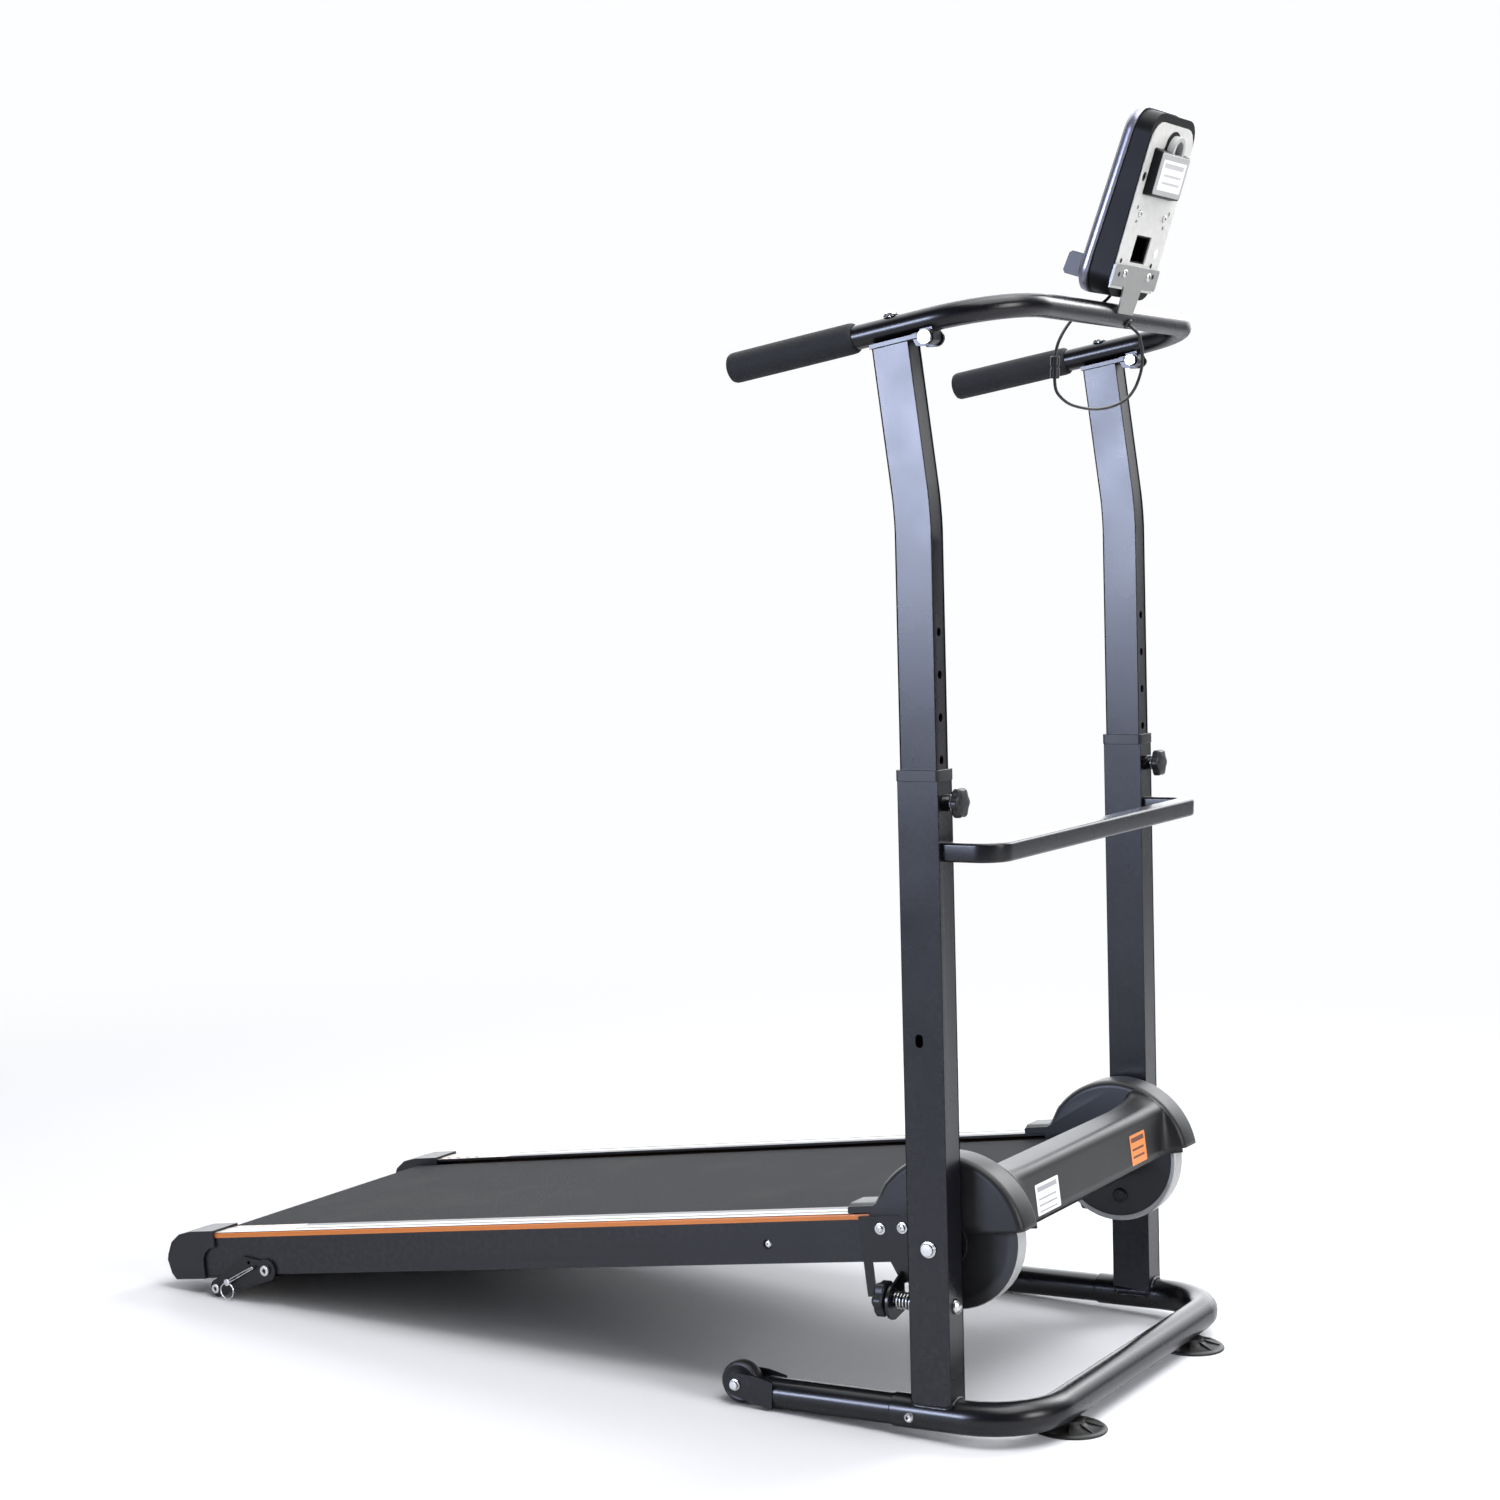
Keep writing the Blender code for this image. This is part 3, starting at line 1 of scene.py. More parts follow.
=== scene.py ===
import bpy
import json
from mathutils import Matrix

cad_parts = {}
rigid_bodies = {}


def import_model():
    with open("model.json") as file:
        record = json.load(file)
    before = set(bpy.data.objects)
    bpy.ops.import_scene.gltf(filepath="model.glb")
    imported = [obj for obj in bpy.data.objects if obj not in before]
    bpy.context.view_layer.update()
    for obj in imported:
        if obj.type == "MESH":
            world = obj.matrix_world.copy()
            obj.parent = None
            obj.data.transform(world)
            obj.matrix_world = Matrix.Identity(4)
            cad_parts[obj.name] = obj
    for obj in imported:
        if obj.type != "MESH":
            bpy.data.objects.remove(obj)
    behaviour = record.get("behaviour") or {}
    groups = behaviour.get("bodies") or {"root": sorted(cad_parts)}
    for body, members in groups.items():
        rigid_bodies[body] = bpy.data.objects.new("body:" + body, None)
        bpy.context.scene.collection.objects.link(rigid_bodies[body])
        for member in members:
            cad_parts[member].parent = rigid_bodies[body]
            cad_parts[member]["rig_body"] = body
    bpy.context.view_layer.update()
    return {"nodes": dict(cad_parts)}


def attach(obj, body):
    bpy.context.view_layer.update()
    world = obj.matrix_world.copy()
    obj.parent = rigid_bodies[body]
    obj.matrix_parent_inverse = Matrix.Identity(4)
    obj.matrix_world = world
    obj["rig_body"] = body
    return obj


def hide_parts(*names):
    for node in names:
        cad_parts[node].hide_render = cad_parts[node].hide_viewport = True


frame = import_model()

import json
from math import asin, atan2, copysign, cos, hypot, pi, radians, sin, sqrt

import bmesh
import bpy
from mathutils import Matrix, Vector

# The machine as it stands: the deck pivot, the uprights and the console set where pieces go.
# Lengths are metres, +Z up, +X to the user's right and +Y to the front.
Y_SHIFT = 0.4645
POST_LEAN = radians(2.6)
DECK_TILT = radians(9.17)
CONSOLE_TILT = radians(16.0)
CONSOLE_TAPER = 0.040
POST_X = 0.273
BAR_SLOPE = 0.21
SIDES = (("right", 1.0), ("left", -1.0))


def deck(x, s, n):
    """s forward along the running deck from its pivot, n above it."""
    ca, sa = cos(DECK_TILT), sin(DECK_TILT)
    return Vector((x, Y_SHIFT - 0.0247 + s * ca - n * sa, 0.2007 + s * sa + n * ca))


def post(x, up, front=0.0):
    """up along an upright from the floor, front of its centre line."""
    ca, sa = cos(POST_LEAN), sin(POST_LEAN)
    return Vector((x, Y_SHIFT - 0.0164 - up * sa + front * ca, up * ca + front * sa))


def bar_height(y):
    """Height of the handlebar's centre line at y, before the shift to the front."""
    return 1.1491 + BAR_SLOPE * (y + 0.0489)


def console(x, p, m):
    """p up the console's back plate, m from the plate towards the user."""
    ca, sa = cos(CONSOLE_TILT), sin(CONSOLE_TILT)
    return Vector((x, Y_SHIFT + 0.0508 + p * sa - m * ca, 1.18345 + p * ca + m * sa))


# ---------------------------------------------------------------- camera
# A long lens near handlebar height, off the front right corner.
# It is rolled a little, which leans the uprights.
turn, lift, roll = radians(119.245), radians(5.1455), radians(0.7735)
back = Vector((sin(turn) * cos(lift), -cos(turn) * cos(lift), sin(lift)))
level = Vector((cos(turn), sin(turn), 0.0))
upright = back.cross(level)
right = level * cos(roll) + upright * sin(roll)
up = upright * cos(roll) - level * sin(roll)
lens = bpy.data.cameras.new("studio_camera")
lens.lens = 71.18
lens.sensor_width = 36.0
camera = bpy.data.objects.new("studio_camera", lens)
spot = Vector((2.98804, 1.26830 + Y_SHIFT, 0.98214))
camera.matrix_world = Matrix((
    (right.x, up.x, back.x, spot.x),
    (right.y, up.y, back.y, spot.y),
    (right.z, up.z, back.z, spot.z),
    (0.0, 0.0, 0.0, 1.0)))
bpy.context.scene.collection.objects.link(camera)
bpy.context.scene.camera = camera


# ---------------------------------------------------------------- powder-coated steel
# Nearly all of the frame is welded tube and sheet under one satin black powder coat.
# The coat has a fine orange-peel ripple, a little dust on top and rub marks on its edges.
def socket(group, name, kind, way, value=None):
    made = group.interface.new_socket(name=name, in_out=way, socket_type=kind)
    if value is not None:
        made.default_value = value
    return made


def node(tree, kind, **values):
    made = tree.nodes.new(kind)
    for key, value in values.items():
        setattr(made, key, value)
    return made


def plug(tree, source, target):
    tree.links.new(source, target)


def feed(tree, target, value):
    """Links a socket to another one, or sets it when the value is a number or a colour."""
    if isinstance(value, bpy.types.NodeSocket):
        plug(tree, value, target)
    else:
        target.default_value = value


def maths(tree, operation, *terms):
    """The result of one sum."""
    made = node(tree, "ShaderNodeMath", operation=operation)
    for target, term in zip(made.inputs, terms):
        feed(tree, target, term)
    return made.outputs[0]


def noise(tree, place, scale, detail=2.0):
    """Cloudy noise from 0 to 1 that stays with the piece."""
    made = node(tree, "ShaderNodeTexNoise")
    feed(tree, made.inputs["Scale"], scale)
    made.inputs["Detail"].default_value = detail
    plug(tree, place.outputs["Object"], made.inputs["Vector"])
    return made.outputs["Fac"]


def mapped(tree, value, of=(0.0, 1.0), to=(0.0, 1.0), kind="LINEAR"):
    """A value moved from one range to another and held there."""
    made = node(tree, "ShaderNodeMapRange", interpolation_type=kind)
    for name, limit in zip(("From Min", "From Max", "To Min", "To Max"), (*of, *to)):
        made.inputs[name].default_value = limit
    plug(tree, value, made.inputs["Value"])
    return made.outputs["Result"]


def blend(tree, factor, a, b):
    """A colour part of the way from a to b."""
    made = node(tree, "ShaderNodeMix", data_type="RGBA")
    for name, value in (("Factor", factor), ("A", a), ("B", b)):
        feed(tree, made.inputs[name], value)
    return made.outputs["Result"]


def reach_along(tree, vector, way):
    """How far a vector reaches along a direction."""
    made = node(tree, "ShaderNodeVectorMath", operation="DOT_PRODUCT")
    made.inputs[1].default_value = way
    plug(tree, vector, made.inputs[0])
    return made.outputs["Value"]


def new_finish(name):
    """A material with its node tree and its Principled shader."""
    made = bpy.data.materials.new(name)
    made.use_nodes = True
    return made, made.node_tree, made.node_tree.nodes["Principled BSDF"]


def bumped(tree, shader, height, strength, distance):
    """Raises a finish by a height."""
    bump = node(tree, "ShaderNodeBump")
    bump.inputs["Strength"].default_value = strength
    bump.inputs["Distance"].default_value = distance
    plug(tree, height, bump.inputs["Height"])
    plug(tree, bump.outputs["Normal"], shader.inputs["Normal"])


def worn_coat_group():
    """Colour, roughness and height of a coated skin with ripple, dust and rubbed edges."""
    group = bpy.data.node_groups.new("worn_coat", "ShaderNodeTree")
    for name, value in (("Colour", (0.01, 0.01, 0.013, 1.0)), ("Rub Colour", (0.09, 0.09, 0.10, 1.0))):
        socket(group, name, "NodeSocketColor", "INPUT", value)
    for name, value in (("Roughness", 0.3), ("Ripple Scale", 900.0), ("Dust", 0.05), ("Rub", 0.3)):
        socket(group, name, "NodeSocketFloat", "INPUT", value)
    for name, kind in (("Colour", "Color"), ("Roughness", "Float"), ("Height", "Float")):
        socket(group, name, "NodeSocket" + kind, "OUTPUT")
    entry = node(group, "NodeGroupInput")
    leave = node(group, "NodeGroupOutput")
    place = node(group, "ShaderNodeTexCoord")
    shape = node(group, "ShaderNodeNewGeometry")
    ripple = noise(group, place, entry.outputs["Ripple Scale"])
    cloud = noise(group, place, 14.0, 6.0)
    lines = noise(group, place, 160.0, 5.0)
    edge = mapped(group, shape.outputs["Pointiness"], of=(0.53, 0.62))
    broken = mapped(group, lines, of=(0.42, 0.66))
    rub = maths(group, "MULTIPLY", edge, broken)
    much = maths(group, "MULTIPLY", rub, entry.outputs["Rub"])
    paint = blend(group, much, entry.outputs["Colour"], entry.outputs["Rub Colour"])
    patch = mapped(group, cloud, of=(0.45, 0.75))
    dust = maths(group, "MULTIPLY", patch, entry.outputs["Dust"])
    dusty = blend(group, dust, paint, (0.30, 0.30, 0.31, 1.0))
    plug(group, dusty, leave.inputs["Colour"])
    vary = mapped(group, cloud, to=(-0.05, 0.07))
    total = maths(group, "ADD", entry.outputs["Roughness"], vary)
    plug(group, total, leave.inputs["Roughness"])
    plug(group, ripple, leave.inputs["Height"])
    return group


worn_coat = worn_coat_group()


def coated(name, colour, roughness, ripple=900.0, dust=0.04, rub=0.3, depth=0.03, metal=0.0, coat=0.0,
           rub_colour=(0.09, 0.09, 0.10)):
    """A finish made from the worn coat with its own colour, gloss and ripple."""
    made, tree, shader = new_finish(name)
    skin = node(tree, "ShaderNodeGroup", node_tree=worn_coat)
    for key, value in (("Colour", (*colour, 1.0)), ("Rub Colour", (*rub_colour, 1.0)), ("Roughness", roughness),
                       ("Ripple Scale", ripple), ("Dust", dust), ("Rub", rub)):
        skin.inputs[key].default_value = value
    plug(tree, skin.outputs["Colour"], shader.inputs["Base Color"])
    plug(tree, skin.outputs["Roughness"], shader.inputs["Roughness"])
    bumped(tree, shader, skin.outputs["Height"], depth, 0.001)
    shader.inputs["Metallic"].default_value = metal
    shader.inputs["Coat Weight"].default_value = coat
    shader.inputs["Coat Roughness"].default_value = 0.12
    shader.inputs["Specular IOR Level"].default_value = 0.36
    return made


powder_black = coated("powder_black", (0.004, 0.004, 0.006), 0.27, 1300.0, 0.0015, 0.10, 0.012)


def ease_edges(piece, width, corner, segments=2):
    """Rounds each edge that is sharper than the corner angle."""
    ease = piece.modifiers.new("eased_edges", "BEVEL")
    ease.width = width
    ease.segments = segments
    ease.limit_method = "ANGLE"
    ease.angle_limit = radians(corner)
    ease.harden_normals = True


def finished_part(name, finish, edge=0.0006, corner=38.0, segments=2):
    """A CAD piece with its flats merged, its edges eased and its finish on."""
    source = frame["nodes"][name]
    shape = bmesh.new()
    shape.from_mesh(source.data)
    bmesh.ops.remove_doubles(shape, verts=shape.verts, dist=0.00001)
    bmesh.ops.dissolve_limit(shape, angle_limit=radians(0.4), verts=shape.verts, edges=shape.edges)
    mesh = bpy.data.meshes.new(name + "_finished")
    shape.to_mesh(mesh)
    shape.free()
    mesh.shade_smooth()
    mesh.set_sharp_from_angle(angle=radians(corner))
    mesh.materials.append(finish)
    piece = bpy.data.objects.new(name + "_finished", mesh)
    bpy.context.scene.collection.objects.link(piece)
    if edge:
        ease_edges(piece, edge, corner, segments)
    level = piece.modifiers.new("level_flats", "WEIGHTED_NORMAL")
    level.keep_sharp = True
    level.weight = 90
    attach(piece, source["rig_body"])
    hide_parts(name)
    return piece


# ---------------------------------------------------------------- base frame
# A bent round tube across the front and two rear legs pushed into it, ending in wheel forks.
# Two soft suction feet are bolted under the front tube.
def loose_piece(name, shape, finish, body, corner=38.0, edge=0.0):
    """A made shape turned into a smooth-shaded piece on its body."""
    bmesh.ops.remove_doubles(shape, verts=shape.verts, dist=0.000005)
    bmesh.ops.recalc_face_normals(shape, faces=shape.faces)
    mesh = bpy.data.meshes.new(name)
    shape.to_mesh(mesh)
    shape.free()
    mesh.shade_smooth()
    mesh.set_sharp_from_angle(angle=radians(corner))
    mesh.materials.append(finish)
    piece = bpy.data.objects.new(name, mesh)
    bpy.context.scene.collection.objects.link(piece)
    if edge:
        ease_edges(piece, edge, corner)
    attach(piece, body)
    return piece


def skinned(shape, rings, closed=False):
    """Quads between equal rings, with both ends capped unless the run closes on itself."""
    made = [[shape.verts.new(p) for p in ring] for ring in rings]
    count = len(made[0])
    pairs = list(zip(made, made[1:]))
    if closed:
        pairs.append((made[-1], made[0]))
    for low, high in pairs:
        for i in range(count):
            j = (i + 1) % count
            shape.faces.new((low[i], low[j], high[j], high[i]))
    if not closed:
        shape.faces.new(made[0][::-1])
        shape.faces.new(made[-1])


def turned(shape, profile, centre, axis, seg=32, closed=False):
    """A turned profile of (radius, height) pairs about an axis."""
    axis = Vector(axis).normalized()
    side = Vector((1.0, 0.0, 0.0)) if abs(axis.x) < 0.9 else Vector((0.0, 1.0, 0.0))
    u = (side - axis * side.dot(axis)).normalized()
    v = axis.cross(u)
    rings = []
    for r, h in profile:
        here = Vector(centre) + axis * h
        if r <= 0.0:
            rings.append([shape.verts.new(here)])
            continue
        rings.append([shape.verts.new(here + (u * cos(2 * pi * i / seg)
                                              + v * sin(2 * pi * i / seg)) * r) for i in range(seg)])
    pairs = list(zip(rings, rings[1:]))
    if closed:
        pairs.append((rings[-1], rings[0]))
    for low, high in pairs:
        for i in range(seg):
            j = (i + 1) % seg
            if len(low) == 1 and len(high) == 1:
                continue
            if len(low) == 1:
                shape.faces.new((low[0], high[j], high[i]))
            elif len(high) == 1:
                shape.faces.new((low[i], low[j], high[0]))
            else:
                shape.faces.new((low[i], low[j], high[j], high[i]))


finished_part("base_front_tube", powder_black, 0.0)
for side, k in SIDES:
    finished_part("base_leg_" + side, powder_black, 0.0005)


# ---------------------------------------------------------------- weld beads
# The foot of each upright is welded to the base tube all round.
# The bead is raised, with overlapping ripples, and lies under the powder coat.
def weld_bead(name, line, radius, body, closed=True, pitch=0.0022):
    """A rippled bead run along a line of points."""
    shape = bmesh.new()
    rings = []
    count = len(line)
    travelled = 0.0
    for i, p in enumerate(line):
        before = line[i - 1] if (closed or i) else p
        after = line[(i + 1) % count] if (closed or i + 1 < count) else p
        ahead = (after - before).normalized()
        side = ahead.cross(Vector((0.3, 0.5, 0.8))).normalized()
        over = ahead.cross(side)
        travelled += (p - before).length
        r = radius * (0.88 + 0.16 * abs(sin(pi * travelled / pitch)))
        rings.append([p + side * r * cos(t) + over * r * sin(t)
                      for t in (2 * pi * j / 8 for j in range(8))])
    skinned(shape, rings, closed)
    return loose_piece(name, shape, powder_black, body, 60.0)


for side, k in SIDES:
    # saddle-shaped bead where the upright's foot meets the base tube
    foot = []
    for i in range(90):
        t = 2 * pi * i / 90
        du = 0.0172 * max(-1.0, min(1.0, 1.25 * cos(t)))
        dv = 0.0232 * max(-1.0, min(1.0, 1.25 * sin(t)))
        x = k * POST_X + du
        off = x - k * 0.275
        rise = sqrt(max(0.0, 0.0182 ** 2 - off * off))
        y = -0.0164 - 0.035 * 0.0454 + dv
        z = 0.0300 + 0.0454 * (y - 0.0875) + rise
        foot.append(Vector((x, y + Y_SHIFT, z + 0.0006)))
    weld_bead("foot_weld_" + side, foot, 0.0023, "stand")


# ---------------------------------------------------------------- suction feet
# Moulded soft rubber discs with a raised hub and eight radial ribs.
# Each is bolted under the front tube and flattens at its lip.
foot_rubber = coated("foot_rubber", (0.010, 0.010, 0.010), 0.5, 600.0, 0.03, 0.0, 0.10)
for side, k in SIDES:
    centre = Vector((k * 0.174, 0.0875 + Y_SHIFT, 0.0))
    shape = bmesh.new()
    turned(shape, ((0.0, 0.0018), (0.030, 0.0018), (0.032, 0.0001), (0.0398, 0.0001), (0.0400, 0.0012),
                   (0.0394, 0.0022), (0.0372, 0.0034), (0.0350, 0.0040), (0.0330, 0.0036), (0.0200, 0.0056),
                   (0.0165, 0.0075), (0.0155, 0.0095), (0.0150, 0.0114), (0.0, 0.0114)),
           centre, (0, 0, 1), 64)
    foot = loose_piece("suction_disc_" + side, shape, foot_rubber, "stand", 45.0)
    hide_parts("suction_foot_" + side)
    for i in range(8):
        a = pi * (i + 0.5) / 4
        out = Vector((cos(a), sin(a), 0.0))
        across = Vector((-out.y, out.x, 0.0))
        shape = bmesh.new()
        rings = []
        for r, h in ((0.0145, 0.0098), (0.020, 0.0082), (0.028, 0.0062), (0.0350, 0.0044)):
            p = centre + out * r
            base = Vector((0.0, 0.0, 0.0030))
            rings.append([p + base - across * 0.0011, p + Vector((0, 0, h)) - across * 0.0007,
                          p + Vector((0, 0, h)) + across * 0.0007, p + base + across * 0.0011])
        skinned(shape, rings)
        rib = loose_piece("suction_rib_%s_%d" % (side, i), shape, foot_rubber, "stand", 60.0)


# ---------------------------------------------------------------- transport wheels
# Hard moulded wheels that take the weight when the machine is tipped back.
# Each turns on a zinc bolt with a hex head outside and a lock nut inside.
wheel_plastic = coated("wheel_plastic", (0.010, 0.010, 0.011), 0.42, 500.0, 0.03, 0.1, 0.05)


def zinc_plate(name, colour=(0.66, 0.66, 0.65), roughness=0.24):
    """Bright zinc: plated steel with faint turning marks and duller patches."""
    made, tree, shader = new_finish(name)
    place = node(tree, "ShaderNodeTexCoord")
    cloud = noise(tree, place, 120.0, 5.0)
    tone = blend(tree, cloud, (*[c * 0.72 for c in colour], 1.0), (*colour, 1.0))
    dull = mapped(tree, cloud, to=(roughness - 0.06, roughness + 0.14))
    fine = noise(tree, place, 1500.0)
    bumped(tree, shader, fine, 0.06, 0.001)
    plug(tree, tone, shader.inputs["Base Color"])
    plug(tree, dull, shader.inputs["Roughness"])
    shader.inputs["Metallic"].default_value = 1.0
    return made


bright_zinc = zinc_plate("bright_zinc")
for side, k in SIDES:
    wheel = finished_part("wheel_" + side, wheel_plastic, 0.0)
    wheel.modifiers.new("round_tread", "SUBSURF").levels = 1
    wheel.modifiers["round_tread"].render_levels = 1
    finished_part("wheel_bolt_" + side, bright_zinc, 0.0004)

# ---------------------------------------------------------------- bright screws and wire
# Low domed screws with a hexagon socket, and drawn wire for springs and clips.
# Both are plated like the bolts; one screw goes through the joint of each rear leg.
def socket_screw(name, at, axis, r, body):
    """Low domed zinc screw with a dark hexagon socket."""
    shape = bmesh.new()
    turned(shape, ((0.0, -0.0010), (r * 0.6, -0.0010), (r * 0.6, 0.0), (r, 0.0), (r, 0.0008), (r * 0.88, 0.0024),
                   (r * 0.62, 0.0034), (r * 0.52, 0.0034)), at, axis, 36)
    turned(shape, ((r * 0.52, 0.0034), (r * 0.50, 0.0010), (0.0, 0.0010)), at, axis, 6)
    return loose_piece(name, shape, bright_zinc, body, 30.0)


def wire_piece(name, line, radius, flat, body, closed=False):
    """Bright drawn wire along a line; flat is a direction that is never along the line."""
    shape = bmesh.new()
    rings = []
    last = len(line) - 1
    for i, p in enumerate(line):
        before = line[i - 1] if i or closed else p
        after = line[(i + 1) % (last + 1)] if i < last or closed else p
        d = (after - before).normalized()
        u = (flat - d * flat.dot(d)).normalized()
        v = d.cross(u)
        rings.append([p + (u * cos(pi * j / 4) + v * sin(pi * j / 4)) * radius
                      for j in range(8)])
    skinned(shape, rings, closed)
    loose_piece(name, shape, bright_zinc, body, 60.0)


for side, k in SIDES:
    socket_screw("joint_screw_" + side, Vector((k * 0.2928, Y_SHIFT - 0.0415, 0.0227)), (k, 0, 0), 0.0056, "stand")


# ---------------------------------------------------------------- uprights
# Rectangular steel tube, bent once near the top and powder coated.
# The wide lower half is welded to the base, and the slim upper half slides in it.
def rounder_corners(piece, line, half_w, half_d, was, now):
    """Opens the corner radius of a rectangular tube that follows a centre line."""
    for vert in piece.data.vertices:
        best = None
        for a, b in zip(line, line[1:]):
            d = (b - a).normalized()
            along = (vert.co - a).dot(d)
            off = max(0.0, -along, along - (b - a).length)
            if best is None or off < best[0]:
                best = (off, a, d)
        a, d = best[1:]
        fwd = Vector((0.0, d.z, -d.y))
        u, v = vert.co.x - a.x, (vert.co - a).dot(fwd)
        du, dv = abs(u) - (half_w - was), abs(v) - (half_d - was)
        if du < -0.0002 or dv < -0.0002 or abs(hypot(du, dv) - was) > 0.0003:
            continue
        t = atan2(max(dv, 0.0), max(du, 0.0))
        new_u, new_v = half_w - now + now * cos(t), half_d - now + now * sin(t)
        vert.co += Vector((copysign(new_u - abs(u), u), 0.0, 0.0)) + fwd * copysign(new_v - abs(v), v)


for side, k in SIDES:
    tube = finished_part("lower_post_" + side, powder_black, 0.0, 50.0)
    rounder_corners(tube, [post(k * POST_X, 0.0), post(k * POST_X, 0.8)], 0.0165, 0.0225, 0.003, 0.0065)
    tube = finished_part("upper_post_" + side, powder_black, 0.0, 50.0)
    line = [post(k * POST_X, 0.4), post(k * POST_X, 0.925)]
    for i in range(6):
        t = POST_LEAN + radians(7.2) * ((i + 0.5) / 5 if i < 5 else 1.0)
        line.append(line[-1] + Vector((0.0, -sin(t), cos(t))) * (0.012 if i < 5 else 0.2))
    rounder_corners(tube, line, 0.0133, 0.0198, 0.0025, 0.0060)
    for name in ("pivot_bolt_", "lock_bolt_", "hinge_bolt_", "lock_screw_"):
        finished_part(name + side, bright_zinc, 0.0004)
    finished_part("post_saddle_" + side, powder_black, 0.0006)
finished_part("crossbar", powder_black, 0.0)


# ---------------------------------------------------------------- moulded plastic parts
# Collars, knobs and caps are black polypropylene with a fine spark-eroded grain.
# They push into the tubes or thread onto bright nuts and sprung pins.
black_moulding = coated("black_moulding", (0.008, 0.008, 0.010), 0.40, 700.0, 0.015, 0.08, 0.08)
for side, k in SIDES:
    for name in ("post_collar_", "height_knob_", "lock_knob_"):
        finished_part(name + side, black_moulding, 0.0005)
    finished_part("rear_cap_" + side, black_moulding, 0.0012)
    # return spring of the fold lock, wound round its barrel, and the bright nut behind the height knob
    coil = []
    for i in range(97):
        t = 2 * pi * i / 16
        coil.append(post(k * POST_X + 0.0083 * cos(t), 0.140 + 0.0083 * sin(t), -0.0455 + 0.0220 * i / 96))
    wire_piece("lock_spring_" + side, coil, 0.0011, post(0, 0, 1) - post(0, 0, 0), "deck")
    shape = bmesh.new()
    turned(shape, ((0.0078, 0.0), (0.0090, 0.0), (0.0090, 0.0030), (0.0078, 0.0030)), post(k * POST_X, 0.6605, 0.0310),
           post(0, 0, 1) - post(0, 0, 0), 6, True)
    loose_piece("knob_nut_" + side, shape, bright_zinc, "height_knob_%s_body" % side, 30.0, 0.0003)


# ---------------------------------------------------------------- side rails
# Rolled steel rails, powder coated, then screen printed: an orange edge, two white lines,
# and a pale tread patch with dark chevrons by each rear cap.
def deck_axes_group():
    """Distances across, along and above the running deck from its pivot."""
    group = bpy.data.node_groups.new("deck_axes", "ShaderNodeTree")
    for name in ("Across", "Along", "Above"):
        socket(group, name, "NodeSocketFloat", "OUTPUT")
    leave = node(group, "NodeGroupOutput")
    place = node(group, "ShaderNodeTexCoord")
    moved = node(group, "ShaderNodeVectorMath", operation="SUBTRACT")
    moved.inputs[1].default_value = deck(0.0, 0.0, 0.0)
    plug(group, place.outputs["Object"], moved.inputs[0])
    parts = node(group, "ShaderNodeSeparateXYZ")
    plug(group, moved.outputs[0], parts.inputs[0])
    across = maths(group, "ABSOLUTE", parts.outputs["X"])
    plug(group, across, leave.inputs["Across"])
    for name, way in (("Along", (0.0, cos(DECK_TILT), sin(DECK_TILT))),
                      ("Above", (0.0, -sin(DECK_TILT), cos(DECK_TILT)))):
        plug(group, reach_along(group, moved.outputs[0], way), leave.inputs[name])
    return group


deck_axes = deck_axes_group()


def within(tree, value, low, high):
    """1 where a value lies between two limits."""
    return maths(tree, "COMPARE", value, (low + high) / 2, (high - low) / 2)


def both(tree, a, b):
    return maths(tree, "MULTIPLY", a, b)


def either(tree, a, b):
    return maths(tree, "MAXIMUM", a, b)


def printed_over(tree, shader, mask, colour):
    """Lays a printed colour over whatever already feeds the shader's base colour."""
    link = shader.inputs["Base Color"].links[0]
    under = link.from_socket
    tree.links.remove(link)
    ink = blend(tree, mask, under, (*colour, 1.0))
    plug(tree, ink, shader.inputs["Base Color"])


def rail_finish():
    made = coated("printed_rail", (0.007, 0.007, 0.009), 0.36, 900.0, 0.008, 0.2, 0.03)
    tree = made.node_tree
    shader = tree.nodes["Principled BSDF"]
    axes = node(tree, "ShaderNodeGroup", node_tree=deck_axes)
    across, along, above = (axes.outputs[n] for n in ("Across", "Along", "Above"))
    top = within(tree, above, 0.0302, 0.0400)
    patch = both(tree, top, both(tree, within(tree, along, -0.985, -0.862), within(tree, across, 0.2105, 0.2480)))
    printed_over(tree, shader, patch, (0.80, 0.66, 0.60))
    slant = maths(tree, "MULTIPLY_ADD", across, 0.9, along)
    step = maths(tree, "PINGPONG", slant, 0.0075)
    stroke = both(tree, within(tree, step, 0.0, 0.0030),
                  both(tree, within(tree, along, -0.985, -0.905), within(tree, across, 0.2130, 0.2320)))
    printed_over(tree, shader, both(tree, patch, stroke), (0.03, 0.03, 0.04))
    lines = either(tree, within(tree, across, 0.2405, 0.2485), within(tree, across, 0.2235, 0.2330))
    printed_over(tree, shader, both(tree, top, both(tree, lines, within(tree, along, -1.02, -0.105))),
                 (0.80, 0.80, 0.79))
    side = both(tree, within(tree, across, 0.2493, 0.2520), within(tree, above, 0.0256, 0.0316))
    printed_over(tree, shader, side, (0.83, 0.25, 0.045))
    return made


